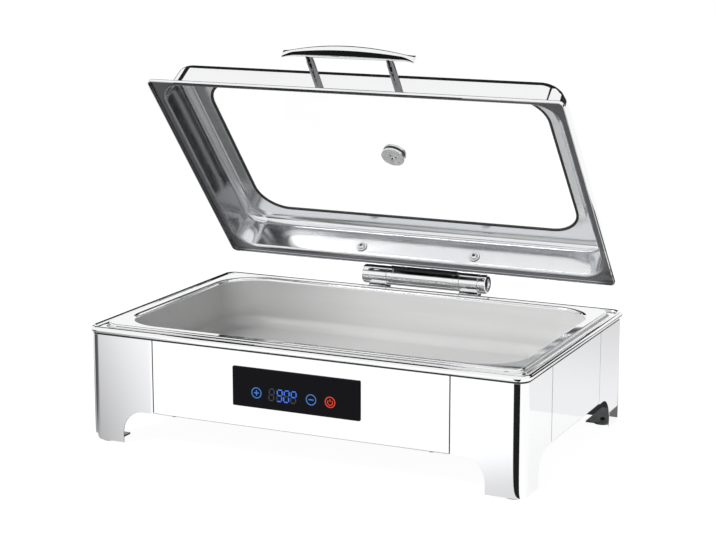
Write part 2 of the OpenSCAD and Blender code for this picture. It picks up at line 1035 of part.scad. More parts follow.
module lead(route, sides = 10) {
    path = rounded_route(route, lead_bend_r);
    count = len(path);
    rings = [
        for (i = [0 : count - 1])
            let (across = side_at(path, i), over = cross(heading(path, i), across))
            for (k = [0 : sides - 1])
                let (a = 360 * k / sides)
                path[i] + lead_d / 2 * (cos(a) * across + sin(a) * over)
    ];
    walls = [
        for (i = [0 : count - 2], k = [0 : sides - 1])
            let (a = i * sides + k, b = i * sides + (k + 1) % sides)
            each [[a, a + sides, b], [b, a + sides, b + sides]]
    ];
    first = [for (k = [0 : sides - 1]) k];
    last = [for (k = [sides - 1 : -1 : 0]) (count - 1) * sides + k];
    polyhedron(rings, concat(walls, [first, last]));
}

module power_lead() {
    color(BLACK)
        in_place()
            lead([
                [inlet_x, inlet_lead_y, inlet_z - inlet_h / 2],
                [inlet_x, inlet_lead_y, lead_z],
                [power_plug_x + power_lead_side, heater_d / 4, lead_z],
                [power_plug_x, plug_y, lead_z],
                [power_plug_x, plug_y, plug_z]
            ]);
}

// The two leads to the ends of the heating element
module heater_leads() {
    color(RUBBER)
        in_place()
            for (side = [-1, 1])
                lead([
                    [-element_run, side * element_pitch / 2, element_z],
                    [-element_run - 3 * lead_d, side * element_pitch / 2, element_z],
                    [-element_run - 3 * (1 + side) * lead_d, -element_pitch - side * 1.5 * lead_d, lead_z],
                    [heater_plug_x - side * plug_h / 4, -element_pitch - side * 1.5 * lead_d, lead_z],
                    [heater_plug_x - side * plug_h / 4, plug_y, lead_z],
                    [heater_plug_x - side * plug_h / 4, plug_y, plug_z]
                ]);
}

module sensor_lead() {
    color(RUBBER)
        in_place()
            lead([
                [sensor_x - sensor_len / 2, 0, heater_z - element_d / 4 - lead_d / 2],
                [sensor_x - sensor_len, 0, lead_z],
                [sensor_plug_x, plug_y, lead_z],
                [sensor_plug_x, plug_y, plug_z]
            ]);
}

// The base bracket: a plate on the back panel, two arms and the sleeves that hold the pin
module hinge_bracket() {
    color(CHROME)
        in_place()
            difference() {
                union() {
                    translate([-sleeve_out, half_d, bracket_bottom])
                        cube([2 * sleeve_out, bracket_t, bracket_h]);
                    for (side = [-1, 1])
                        translate([side * (sleeve_out - sleeve_len / 2), 0, 0]) {
                            rotate([90, 0, 90])
                                linear_extrude(sleeve_len, center = true)
                                    bracket_arm();
                            translate([0, hinge_y, hinge_z])
                                bar_x(-sleeve_len / 2, sleeve_len / 2, barrel_d);
                        }
                }
                translate([0, hinge_y, hinge_z])
                    bar_x(-sleeve_out - past, sleeve_out + past, pin_d + 2 * run_gap);
                bracket_screw_places()
                    bar_y(half_d - past, half_d + bracket_t + past, bracket_screw_d + 2 * hole_gap);
            }
}

// The outline of an arm, seen from the side: Y across and Z up
module bracket_arm() {
    polygon([
        [half_d, bracket_bottom],
        [half_d, bracket_top],
        [half_d + bracket_t, bracket_top],
        [hinge_y - 0.6 * barrel_r, hinge_z - 0.8 * barrel_r],
        [hinge_y + 0.8 * barrel_r, hinge_z - 0.6 * barrel_r],
        [half_d + 2 * bracket_t, bracket_bottom]
    ]);
}

module hinge_backing_plate() {
    color(SATIN)
        in_place()
            difference() {
                translate([-barrel_len / 2, half_d - sheet_t - bracket_t, bracket_bottom])
                    cube([barrel_len, bracket_t, backing_h]);
                bracket_screw_places()
                    bar_y(half_d - 4 * bracket_t, half_d + past, bracket_screw_d + 2 * hole_gap);
            }
}

module hinge_bracket_screws() {
    color(CHROME)
        in_place()
            bracket_screw_places()
                translate([0, half_d + bracket_t, 0])
                    rotate([-90, 0, 0])
                        screw(bracket_screw_d, 2 * bracket_t + sheet_t + screw_past, bracket_head_d, bracket_head_h);
}

module hinge_pin() {
    color(SATIN)
        in_place()
            translate([0, hinge_y, hinge_z])
                bar_x(-sleeve_out - left_cap_len / 2, sleeve_out + collar_len + right_cap_len / 2, pin_d);
}

// A turned cap on the end of the hinge: a round edge on its outer end, and a blind bore for the pin
module end_cap(length, bore_len) {
    edge_r = barrel_r / 4;
    rotate([0, 90, 0])
        difference() {
            rotate_extrude() {
                square([barrel_r, length - edge_r]);
                square([barrel_r - edge_r, length]);
                translate([barrel_r - edge_r, length - edge_r])
                    circle(edge_r);
            }
            translate([0, 0, -past])
                cylinder(h = bore_len + past + side_gap, d = pin_d + 2 * run_gap);
        }
}

module hinge_left_cap() {
    color(CHROME)
        in_place()
            translate([-sleeve_out, hinge_y, hinge_z])
                mirror([1, 0, 0])
                    end_cap(left_cap_len, left_cap_len / 2);
}

module hinge_collar() {
    color(CHROME)
        in_place()
            translate([sleeve_out, hinge_y, hinge_z])
                difference() {
                    bar_x(0, collar_len, barrel_d - 2 * collar_step);
                    bar_x(-past, collar_len + past, pin_d + 2 * run_gap);
                }
}

module hinge_right_cap() {
    dish_d = barrel_d / 2;
    color(CHROME)
        in_place()
            translate([sleeve_out + collar_len, hinge_y, hinge_z])
                difference() {
                    end_cap(right_cap_len, right_cap_len / 2);
                    bar_x(right_cap_len - dish_depth, right_cap_len + past, dish_d);
                }
}

module hinge_barrel() {
    color(CHROME)
        on_lid()
            translate([0, hinge_y, hinge_rise])
                difference() {
                    bar_x(-barrel_len / 2, barrel_len / 2, barrel_d);
                    bar_x(-barrel_len / 2 - past, barrel_len / 2 + past, barrel_in_d);
                }
}

// A ring that fits the barrel's bore and runs on the pin
module barrel_ring(x0, x1) {
    difference() {
        bar_x(x0, x1, barrel_in_d - 2 * run_gap);
        bar_x(x0 - past, x1 + past, pin_d + 2 * run_gap);
    }
}

module hinge_bushes() {
    color(SATIN)
        on_lid()
            translate([0, hinge_y, hinge_rise]) {
                barrel_ring(-barrel_len / 2, bush_len - barrel_len / 2);
                barrel_ring(barrel_len / 2 - bush_len, barrel_len / 2);
            }
}

module hinge_damper() {
    color(BLACK)
        on_lid()
            translate([0, hinge_y, hinge_rise])
                barrel_ring(bush_len - barrel_len / 2 + side_gap, barrel_len / 2 - bush_len - side_gap);
}

module lid_screw_places() {
    on_back_wall()
        for (side = [-1, 1])
            translate([side * lid_screw_x, 0, lid_screw_rise])
                children();
}

module hinge_lid_bracket() {
    color(CHROME)
        on_lid()
            difference() {
                union() {
                    on_back_wall()
                        translate([-lid_plate_w / 2, 0, lid_plate_rise])
                            cube([lid_plate_w, lid_plate_t, lid_plate_h]);
                    translate([-lid_web_w / 2, wall_d / 2 + lid_plate_t / 2, hinge_rise + lid_web_up - lid_web_t / 2])
                        cube([lid_web_w, hinge_y - wall_d / 2, lid_web_t]);
                }
                translate([0, hinge_y, hinge_rise])
                    bar_x(-barrel_len, barrel_len, barrel_d);
                lid_screw_places()
                    bar_y(-past, lid_plate_t + past, lid_screw_d + 2 * hole_gap);
            }
}

// Screws with washers, with their heads inside the lid
module lid_hinge_screws() {
    color(CHROME)
        on_lid()
            lid_screw_places() {
                bar_y(-lid_t - washer_t, -lid_t, washer_d);
                bar_y(-lid_t - washer_t - lid_head_h, -lid_t - washer_t, lid_head_d);
                bar_y(-lid_t - washer_t, lid_plate_t + lid_screw_past, lid_screw_d);
            }
}

module lid_hinge_nuts() {
    color(CHROME)
        on_lid()
            lid_screw_places()
                difference() {
                    translate([0, lid_plate_t, 0])
                        rotate([-90, 0, 0])
                            cylinder(h = lid_nut_h, d = lid_nut_d, $fn = 6);
                    bar_y(0, lid_plate_t + lid_nut_h + past, lid_screw_d + 2 * hole_gap);
                }
}

// The wall and shoulder of the lid, X = 0 at the foot of the wall's outer face
module lid_profile(back) {
    shoulder_y = lid_h - shoulder_r;
    lean_y = shoulder_y - lid_t;
    shoulder_x = -(shoulder_r + lean_y * sin(lid_draft)) / cos(lid_draft);
    touch = [shoulder_x + shoulder_r * cos(lid_draft), shoulder_y + shoulder_r * sin(lid_draft)];
    inward = lid_t * [cos(lid_draft), sin(lid_draft)];
    inner_foot = (lid_t + past) * tan(lid_draft) - lid_t / cos(lid_draft);
    inner_back = min(back, shoulder_x - shoulder_r) - past;
    difference() {
        union() {
            polygon([
                [back, 0],
                [0, 0],
                [0, lid_t],
                touch,
                [shoulder_x, shoulder_y],
                [shoulder_x, lid_h],
                [back, lid_h]
            ]);
            translate([shoulder_x, shoulder_y])
                circle(shoulder_r);
        }
        polygon([
            [inner_back, -past],
            [inner_foot, -past],
            touch - inward,
            [shoulder_x, shoulder_y],
            [shoulder_x, lid_h - lid_t],
            [inner_back, lid_h - lid_t]
        ]);
        translate([shoulder_x, shoulder_y])
            circle(shoulder_r - lid_t);
    }
}

module lid_shell() {
    color(STEEL)
        on_lid()
            difference() {
                union() {
                    flat_ring(
                        lid_w, lid_d, lid_edge_r,
                        wall_w - lid_t, wall_d - lid_t, lid_r - lid_t / 2,
                        lid_t
                    );
                    translate([0, 0, -lid_lip])
                        flat_ring(
                            lid_w, lid_d, lid_edge_r,
                            lid_w - 2 * lid_t, lid_d - 2 * lid_t, lid_edge_r - lid_t,
                            lid_lip + lid_t
                        );
                    sweep(wall_w, wall_d, lid_r)
                        lid_profile(-deck_in);
                    translate([0, 0, lid_h - lid_t])
                        flat_ring(
                            wall_w - 2 * deck_in + deck_lap, wall_d - 2 * deck_in + deck_lap, lid_r - deck_in + deck_lap / 2,
                            pocket_w - 2 * lid_t, pocket_d - 2 * lid_t, pocket_r - lid_t,
                            lid_t
                        );
                    translate([0, 0, ledge_top - lid_t])
                        flat_ring(
                            pocket_w, pocket_d, pocket_r,
                            pocket_w - 2 * lid_t, pocket_d - 2 * lid_t, pocket_r - lid_t,
                            lid_h - ledge_top + lid_t
                        );
                    translate([0, 0, ledge_top - lid_t])
                        flat_ring(
                            pocket_w, pocket_d, pocket_r,
                            window_open_w, window_open_d, window_r,
                            lid_t
                        );
                }
                lid_screw_places()
                    bar_y(-lid_t - past, past, lid_screw_d + 2 * hole_gap);
                handle_places()
                    bar_y(-lid_t - past, past, screw_d + 2 * hole_gap);
            }
}

module glass_seal() {
    color(RUBBER)
        on_lid()
            translate([0, 0, ledge_top])
                flat_ring(
                    glass_w, glass_d, glass_r,
                    window_open_w - 2 * seal_show, window_open_d - 2 * seal_show, window_r - seal_show,
                    seal_t
                );
}

module lid_glass() {
    color(GLASS)
        on_lid()
            difference() {
                translate([0, 0, glass_z])
                    linear_extrude(glass_t)
                        rounded_rect(glass_w, glass_d, glass_r);
                translate([0, 0, glass_z - past])
                    cylinder(h = glass_t + 2 * past, d = vent_hole_d);
            }
}

module steam_holes(z0, z1) {
    for (a = [0, 120, 240])
        rotate([0, 0, a])
            translate([steam_at, 0, z0])
                cylinder(h = z1 - z0, d = steam_d);
}

// The vent's fixed half: a disc inside the glass with a tube through it
module vent_seat() {
    color(SATIN)
        on_lid()
            difference() {
                union() {
                    translate([0, 0, glass_z - vent_t])
                        cylinder(h = vent_t, d = vent_d);
                    translate([0, 0, glass_z - vent_t])
                        cylinder(h = vent_t + glass_t + vent_seal_t, d = vent_tube_d);
                }
                translate([0, 0, glass_z - vent_t - past])
                    cylinder(h = lid_h, d = vent_bolt_d + 2 * hole_gap);
                steam_holes(glass_z - vent_t - past, dial_z + past);
            }
}

module vent_seal() {
    color(RUBBER)
        on_lid()
            translate([0, 0, glass_z + glass_t])
                difference() {
                    cylinder(h = vent_seal_t, d = vent_d - 2 * vent_seal_in);
                    translate([0, 0, -past])
                        cylinder(h = vent_seal_t + 2 * past, d = vent_hole_d);
                }
}

module vent_dial() {
    color(SATIN)
        on_lid()
            difference() {
                translate([0, 0, dial_z])
                    cylinder(h = vent_t, d = vent_d);
                translate([0, 0, dial_z - past])
                    cylinder(h = vent_t + 2 * past, d = vent_bolt_d + 2 * run_gap);
                steam_holes(dial_z - past, dial_z + vent_t + past);
            }
}

module vent_screw() {
    color(CHROME)
        on_lid()
            translate([0, 0, glass_z - vent_t]) {
                translate([0, 0, -vent_head_h])
                    cylinder(h = vent_head_h, d = vent_head_d);
                cylinder(h = dial_z + 2 * vent_t - glass_z + vent_bolt_past, d = vent_bolt_d);
            }
}

module vent_nut() {
    color(CHROME)
        on_lid()
            translate([0, 0, dial_z + vent_t + side_gap])
                difference() {
                    cylinder(h = vent_nut_h, d = vent_nut_d, $fn = 6);
                    translate([0, 0, -past])
                        cylinder(h = vent_nut_h + 2 * past, d = vent_bolt_d);
                }
}

module handle_places() {
    on_front_wall()
        for (side = [-1, 1])
            translate([side * post_x, 0, handle_rise])
                children();
}

module handle_posts() {
    color(CHROME)
        on_lid()
            handle_places()
                difference() {
                    bar_y(0, post_len, post_d);
                    bar_y(-past, post_len / 2, screw_d + 2 * hole_gap);
                }
}

// A bow: a straight back towards the lid, an arched front and thin tips
module handle_bar() {
    bow = bar_mid - bar_tip;
    bow_r = (bar_half * bar_half + bow * bow) / (2 * bow);
    color(CHROME)
        on_lid()
            on_front_wall()
                translate([0, post_len, handle_rise])
                    intersection() {
                        linear_extrude(bar_w, center = true)
                            intersection() {
                                translate([0, bar_mid - bow_r])
                                    circle(bow_r, $fn = 360);
                                translate([-bar_half, 0])
                                    square([2 * bar_half, bar_mid]);
                            }
                        translate([0, bar_mid / 2, 0])
                            rotate([90, 0, 90])
                                linear_extrude(2 * bar_half + 2 * past, center = true) {
                                    square([bar_mid - bar_w, bar_w], center = true);
                                    for (side = [-1, 1])
                                        translate([side * (bar_mid - bar_w) / 2, 0])
                                            circle(d = bar_w);
                                }
                    }
}

module handle_screws() {
    color(CHROME)
        on_lid()
            handle_places() {
                bar_y(-lid_t - head_h, -lid_t, head_d);
                bar_y(-lid_t, post_len / 2 - side_gap, screw_d);
            }
}

front_panel();
back_panel();
left_panel();
right_panel();
leg_front_left();
leg_front_right();
leg_back_left();
leg_back_right();
foot_plates();
rubber_feet();
top_rim();
bottom_tray();
tray_screws();
water_pan();
food_pan();
heater_plate();
heating_element();
heater_posts();
heater_screws();
thermal_cutout();
temperature_sensor();
touch_glass();
display_module();
touch_pads();
control_board();
board_posts();
board_screws();
power_inlet();
inlet_screws();
power_lead();
heater_leads();
sensor_lead();
hinge_bracket();
hinge_backing_plate();
hinge_bracket_screws();
hinge_pin();
hinge_left_cap();
hinge_collar();
hinge_right_cap();
hinge_barrel();
hinge_bushes();
hinge_damper();
hinge_lid_bracket();
lid_hinge_screws();
lid_hinge_nuts();
lid_shell();
glass_seal();
lid_glass();
vent_seat();
vent_seal();
vent_dial();
vent_screw();
vent_nut();
handle_bar();
handle_posts();
handle_screws();
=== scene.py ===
import json
import math

import bmesh
import bpy
from mathutils import Matrix, Vector


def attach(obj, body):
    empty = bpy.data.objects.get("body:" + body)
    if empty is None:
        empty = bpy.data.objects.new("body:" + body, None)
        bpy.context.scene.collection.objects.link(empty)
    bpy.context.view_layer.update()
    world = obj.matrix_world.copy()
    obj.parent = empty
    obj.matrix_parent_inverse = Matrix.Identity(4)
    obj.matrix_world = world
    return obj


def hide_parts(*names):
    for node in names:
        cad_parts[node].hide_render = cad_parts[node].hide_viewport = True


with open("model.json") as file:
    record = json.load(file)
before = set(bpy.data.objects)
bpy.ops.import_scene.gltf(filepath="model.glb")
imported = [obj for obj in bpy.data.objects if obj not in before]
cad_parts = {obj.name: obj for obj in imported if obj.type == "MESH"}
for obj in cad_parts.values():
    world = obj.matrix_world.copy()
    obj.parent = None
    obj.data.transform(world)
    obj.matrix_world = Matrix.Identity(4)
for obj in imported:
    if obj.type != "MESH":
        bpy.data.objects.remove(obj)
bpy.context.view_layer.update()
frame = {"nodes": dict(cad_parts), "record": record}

# Sizes in millimetres, as in the construction: x and y from the body's middle, z from the floor

HALF_W = 277.5
HALF_D = 175.0
MID_Y = 18.625  # how far the whole object's middle lies behind the body's
SHEET_T = 1.2
SEAM = 1.2
CORNER_R = 14.0
LEG_W = 87.5
FRONT_LEN = 2 * (HALF_W - LEG_W - SEAM)
SIDE_LEN = 2 * (HALF_D - LEG_W - SEAM)

LEG_Z = 3.0
PANEL_Z = 43.5
TRAY_Z = PANEL_Z + SHEET_T
RIM_Z = 134.5
PANEL_TOP = RIM_Z - SEAM
LEDGE_Z = 138.5
FOOD_Z = 144.3

HINGE_Y = 202.0
HINGE_Z = 151.6
HINGE_RISE = 7.0  # from the underside of the lid's flange up to the hinge's axis
LID_OPEN = 49.2  # degrees
LID_DRAFT = 5.0  # degrees
LID_T = 1.2
LID_H = 46.0
WALL_D = 311.0

POST_X = 52.0
POST_LEN = 32.0
HANDLE_RISE = 27.0

TOUCH_Z = 92.0
TOUCH_T = 1.6
INLET_X = 130.0
INLET_Z = 81.72


# Places

MM = 0.001
MILLIMETRES = Matrix.Diagonal((MM, MM, MM, 1))
METRES = Matrix.Identity(4)
BASE = MILLIMETRES @ Matrix.Translation((0, -MID_Y, 0))
LID = (
    MILLIMETRES
    @ Matrix.Translation((0, HINGE_Y - MID_Y, HINGE_Z))
    @ Matrix.Rotation(-math.radians(LID_OPEN), 4, "X")
    @ Matrix.Translation((0, -HINGE_Y, -HINGE_RISE))
)

# On the lid's walls Y points outwards and Z runs up the wall
BACK_WALL = Matrix.Translation((0, WALL_D / 2, LID_T)) @ Matrix.Rotation(
    math.radians(LID_DRAFT), 4, "X"
)
FRONT_WALL = Matrix.Rotation(math.pi, 4, "Z") @ BACK_WALL

# Turns for what is drawn along X
POINT_BACK = Matrix.Rotation(math.pi / 2, 4, "Z")
POINT_FRONT = Matrix.Rotation(-math.pi / 2, 4, "Z")
POINT_UP = Matrix.Rotation(-math.pi / 2, 4, "Y")

SWAP_XY = Matrix(((0, 1, 0, 0), (1, 0, 0, 0), (0, 0, 1, 0), (0, 0, 0, 1)))
SIDES = (-1, 1)


def four_ways(x, y):
    """A place and its three mirror images about the body's middle."""
    return [(side_x * x, side_y * y) for side_x in SIDES for side_y in SIDES]


# Finishes

EVEN = (1, 1, 1)

# The part of its range that the noise mostly keeps to
NOISE_LOW = 0.3
NOISE_HIGH = 0.7
NOISE_DETAIL = 5.0

# How much brighter and dimmer a lit symbol is in places
GLOW_SPREAD = 0.15

# Sockets of a colour mix, which share their names with those for numbers and vectors
MIX_SHARE = 0
MIX_FIRST = 6
MIX_SECOND = 7
MIX_RESULT = 2


def ranged(tree, value, least, most, start=0.0, stop=1.0, soft=False):
    """Maps a value that runs from start to stop to a range, with soft ends where asked."""
    node = tree.nodes.new("ShaderNodeMapRange")
    if soft:
        node.interpolation_type = "SMOOTHSTEP"
    node.inputs["From Min"].default_value = start
    node.inputs["From Max"].default_value = stop
    node.inputs["To Min"].default_value = least
    node.inputs["To Max"].default_value = most
    tree.links.new(value, node.inputs["Value"])
    return node.outputs["Result"]


def mixed(tree, share, first, second):
    """Shows the second shader for a share of the rays, and the first for the rest."""
    mix = tree.nodes.new("ShaderNodeMixShader")
    for source, socket in zip((share, first, second), mix.inputs):
        tree.links.new(source, socket)
    tree.links.new(mix.outputs["Shader"], tree.nodes["Material Output"].inputs["Surface"])


def finish(
    name, colour, *, metallic, roughness, spread, scale, grain=EVEN, relief=0.0, tint=0.04
):
    """A finish whose colour, gloss and relief follow one noise, drawn out along the grain."""
    material = bpy.data.materials.new(name)
    material.use_nodes = True
    tree = material.node_tree
    shader = tree.nodes["Principled BSDF"]
    shader.inputs["Metallic"].default_value = metallic
    place = tree.nodes.new("ShaderNodeTexCoord")
    place.name = "place"
    stretch = tree.nodes.new("ShaderNodeMapping")
    stretch.inputs["Scale"].default_value = grain
    noise = tree.nodes.new("ShaderNodeTexNoise")
    noise.name = "grain"
    noise.inputs["Scale"].default_value = scale
    noise.inputs["Detail"].default_value = NOISE_DETAIL
    tree.links.new(place.outputs["Object"], stretch.inputs["Vector"])
    tree.links.new(stretch.outputs["Vector"], noise.inputs["Vector"])
    gloss = ranged(
        tree,
        noise.outputs["Fac"],
        roughness - spread,
        roughness + spread,
        NOISE_LOW,
        NOISE_HIGH,
    )
    tree.links.new(gloss, shader.inputs["Roughness"])
    tone = tree.nodes.new("ShaderNodeMix")
    tone.data_type = "RGBA"
    tone.inputs[MIX_FIRST].default_value = (*(c * (1 - tint) for c in colour), 1)
    tone.inputs[MIX_SECOND].default_value = (*(min(c * (1 + tint), 1) for c in colour), 1)
    tree.links.new(noise.outputs["Fac"], tone.inputs[MIX_SHARE])
    tree.links.new(tone.outputs[MIX_RESULT], shader.inputs["Base Color"])
    if relief:
        bump = tree.nodes.new("ShaderNodeBump")
        bump.inputs["Strength"].default_value = 1.0
        bump.inputs["Distance"].default_value = relief
        tree.links.new(noise.outputs["Fac"], bump.inputs["Height"])
        tree.links.new(bump.outputs["Normal"], shader.inputs["Normal"])
    return material


def deep_black(material):
    """Keeps the studio's reflection in the touch glass faint."""
    shader = material.node_tree.nodes["Principled BSDF"]
    shader.inputs["Specular IOR Level"].default_value = 0.04
    return material


def lit(name, colour, strength):
    """A symbol that glows on the touch glass, a little uneven: lit from behind, or a painted glow
    on an unlit one.
    """
    material = deep_black(
        finish(name, (0.01, 0.01, 0.012), metallic=0, roughness=0.12, spread=0.02, scale=60)
    )
    tree = material.node_tree
    shader = tree.nodes["Principled BSDF"]
    shader.inputs["Emission Color"].default_value = (*colour, 1)
    level = ranged(
        tree,
        tree.nodes["grain"].outputs["Fac"],
        strength * (1 - GLOW_SPREAD),
        strength * (1 + GLOW_SPREAD),
    )
    tree.links.new(level, shader.inputs["Emission Strength"])
    return material


def see_through(material):
    """Makes a finish clear, and lets light pass to what stands behind it."""
    tree = material.node_tree
    shader = tree.nodes["Principled BSDF"]
    shader.inputs["Transmission Weight"].default_value = 1.0
    shader.inputs["IOR"].default_value = 1.2
    path = tree.nodes.new("ShaderNodeLightPath")
    clear = tree.nodes.new("ShaderNodeBsdfTransparent")
    clear.inputs["Color"].default_value = (0.98, 0.99, 0.985, 1)
    mixed(tree, path.outputs["Is Shadow Ray"], shader.outputs["BSDF"], clear.outputs["BSDF"])
    return material


def shaded(material, axis, start, stop, least, both_ends=False):
    """Darkens a finish softly along an axis as painted shade, in metres: not at stop, and to the
    least at start.
    """
    tree = material.node_tree
    colour = tree.nodes["Principled BSDF"].inputs["Base Color"]
    split = tree.nodes.new("ShaderNodeSeparateXYZ")
    tree.links.new(tree.nodes["place"].outputs["Object"], split.inputs[0])
    along = split.outputs[axis]
    if both_ends:
        size = tree.nodes.new("ShaderNodeMath")
        size.operation = "ABSOLUTE"
        tree.links.new(along, size.inputs[0])
        along = size.outputs["Value"]
    shade = tree.nodes.new("ShaderNodeVectorMath")
    shade.operation = "SCALE"
    tree.links.new(colour.links[0].from_socket, shade.inputs[0])
    tree.links.new(ranged(tree, along, least, 1.0, start, stop, soft=True), shade.inputs["Scale"])
    tree.links.new(shade.outputs["Vector"], colour)


# One finish for each material slot of the construction
FINISHES = {
    "polished_steel": finish(
        "mirror_polished_steel",
        (0.9, 0.903, 0.908),
        metallic=1,
        roughness=0.05,
        spread=0.02,
        scale=16,
        grain=(1, 1, 0.3),
        relief=0.00004,
        tint=0.01,
    ),
    "plain_steel": finish(
        "mill_steel",
        (0.5, 0.51, 0.52),
        metallic=1,
        roughness=0.36,
        spread=0.08,
        scale=40,
        grain=(1, 1, 8),
    ),
    "satin_steel": finish(
        "satin_brushed_steel",
        (0.9, 0.9, 0.895),
        metallic=0.4,
        roughness=0.43,
        spread=0.06,
        scale=70,
        grain=(0.06, 1, 1),
        tint=0.07,
    ),
    "aluminium": finish(
        "cast_aluminium",
        (0.66, 0.67, 0.69),
        metallic=1,
        roughness=0.48,
        spread=0.08,
        scale=260,
        relief=0.00006,
    ),
    "element_sheath": finish(
        "heat_darkened_tube",
        (0.33, 0.33, 0.35),
        metallic=1,
        roughness=0.5,
        spread=0.1,
        scale=60,
        tint=0.25,
    ),
    "black_rubber": finish(
        "black_rubber",
        (0.03, 0.03, 0.03),
        metallic=0,
        roughness=0.62,
        spread=0.08,
        scale=900,
        relief=0.00003,
        tint=0.15,
    ),
    "black_glass": deep_black(
        finish(
            "black_glass",
            (0.006, 0.006, 0.008),
            metallic=0,
            roughness=0.05,
            spread=0.02,
            scale=20,
        )
    ),
    "black_plastic": finish(
        "black_plastic",
        (0.03, 0.03, 0.032),
        metallic=0,
        roughness=0.42,
        spread=0.06,
        scale=1400,
        relief=0.00002,
        tint=0.1,
    ),
    "lead_sheath": finish(
        "silicone_sheath",
        (0.05, 0.05, 0.05),
        metallic=0,
        roughness=0.55,
        spread=0.06,
        scale=300,
        tint=0.15,
    ),
    "circuit_board": finish(
        "lacquered_board",
        (0.04, 0.22, 0.12),
        metallic=0,
        roughness=0.3,
        spread=0.06,
        scale=420,
        relief=0.00002,
        tint=0.3,
    ),
    "bush_brass": finish(
        "turned_brass",
        (0.72, 0.56, 0.28),
        metallic=1,
        roughness=0.24,
        spread=0.06,
        scale=120,
        grain=(12, 1, 1),
        relief=0.00001,
    ),
    "clear_glass": see_through(
        finish(
            "clear_glass",
            (0.995, 0.998, 0.997),
            metallic=0,
            roughness=0.004,
            spread=0.003,
            scale=6,
            tint=0.002,
        )
    ),
    "bright_fasteners": finish(
        "bright_zinc",
        (0.88, 0.885, 0.89),
        metallic=1,
        roughness=0.12,
        spread=0.03,
        scale=300,
        relief=0.00001,
    ),
    "chrome": finish(
        "bright_chrome",
        (0.9, 0.905, 0.91),
        metallic=1,
        roughness=0.04,
        spread=0.015,
        scale=40,
        tint=0.01,
    ),
    "vent_steel": finish(
        "turned_vent_steel",
        (0.75, 0.76, 0.77),
        metallic=1,
        roughness=0.3,
        spread=0.05,
        scale=500,
        tint=0.05,
    ),
}
# Painted shade: the pan is darkened at its left end and on its floor
shaded(FINISHES["satin_steel"], "X", start=-0.27, stop=-0.02, least=0.64)
shaded(FINISHES["satin_steel"], "Z", start=0.08, stop=0.112, least=0.78)

LID_INSIDE_FINISH = finish(
    "satin_lid_inside",
    (0.8, 0.81, 0.825),
    metallic=1,
    roughness=0.16,
    spread=0.03,
    scale=60,
    grain=(0.2, 1, 1),
)
# Painted shade: the lid's inside is darkened towards both its end walls
shaded(LID_INSIDE_FINISH, "X", start=0.2585, stop=0.2385, least=0.33, both_ends=True)
# Painted shade: the underside of the lid's flange is given a near-black steel
LID_FLANGE_PAINTED_SHADE = finish(
    "lid_flange_painted_shade",
    (0.16, 0.16, 0.17),
    metallic=1,
    roughness=0.22,
    spread=0.03,
    scale=30,
    tint=0.06,
)
# Painted reflection: the handle's chrome posts are darkened to show the dark they mirror
POSTS_PAINTED_DARK_REFLECTION = finish(
    "chrome_posts_painted_reflection",
    (0.22, 0.22, 0.23),
    metallic=1,
    roughness=0.08,
    spread=0.02,
    scale=40,
    tint=0.05,
)
# Painted shade: the lid's chrome hinge bracket is given a near-black colour
LID_BRACKET_PAINTED_SHADE = finish(
    "lid_bracket_painted_shade",
    (0.012, 0.012, 0.014),
    metallic=0,
    roughness=0.3,
    spread=0.05,
    scale=300,
)
# Painted shade for the gaps at the seams, the gap under the rim's bead and the rings round the
# screws
SEAM_SHADE = finish(
    "unlit_seam", (0.05, 0.05, 0.055), metallic=1, roughness=0.5, spread=0.05, scale=80
)
BLUE_GLOW = lit("blue_glow", (0.06, 0.2, 0.9), 1.0)
PALE_BLUE_GLOW = lit("pale_blue_glow", (0.08, 0.26, 0.72), 0.8)
RED_GLOW = lit("red_glow", (0.9, 0.06, 0.02), 0.9)
# Painted glow: the display's unlit segments glow faintly though they are off
UNLIT_SEGMENTS_PAINTED_GLOW = lit("unlit_segments_painted_glow", (0.12, 0.14, 0.16), 0.35)


# Shapes

MERGE = 0.0005  # points nearer than this become one
NODE_MERGE = 0.000002  # the same for a construction node, in metres
NODE_FLAT = math.radians(0.5)
CREASE = math.radians(38)
BEND_STEPS = 8
RIM_LIFT = 0.01  # lifts each rim above the one before, so that no bridge lies in one plane


def moved(bm, matrix):
    """Moves a whole shape, and turns its faces back where the move mirrors it."""
    bmesh.ops.transform(bm, matrix=matrix, verts=bm.verts[:])
    if matrix.determinant() < 0:
        bmesh.ops.reverse_faces(bm, faces=bm.faces[:])
    return bm


def gathered(shapes):
    """Brings several shapes together in one."""
    whole = bmesh.new()
    for bm in shapes:
        carrier = bpy.data.meshes.new("carrier")
        bm.to_mesh(carrier)
        bm.free()
        whole.from_mesh(carrier)
        bpy.data.meshes.remove(carrier)
    return whole


def faces_out(bm):
    """Makes the faces of a shape point one way, outwards where it is closed."""
    bmesh.ops.recalc_face_normals(bm, faces=bm.faces[:])
    return bm


def bevelled(bm, geom, affect, width, steps):
    """Rounds edges of a shape, or corners of a flat face."""
    bmesh.ops.bevel(
        bm,
        geom=geom,
        affect=affect,
        offset=width,
        offset_type="OFFSET",
        segments=steps,
        profile=0.5,
        material=-1,
        clamp_overlap=affect == "EDGES",
    )


def eased(bm, width, steps=2, angle=50):
    """Rounds every edge that turns by more than an angle."""
    edges = [
        e
        for e in bm.edges
        if len(e.link_faces) == 2 and e.calc_face_angle(0) > math.radians(angle)
    ]
    bevelled(bm, edges, "EDGES", width, steps)
    return bm


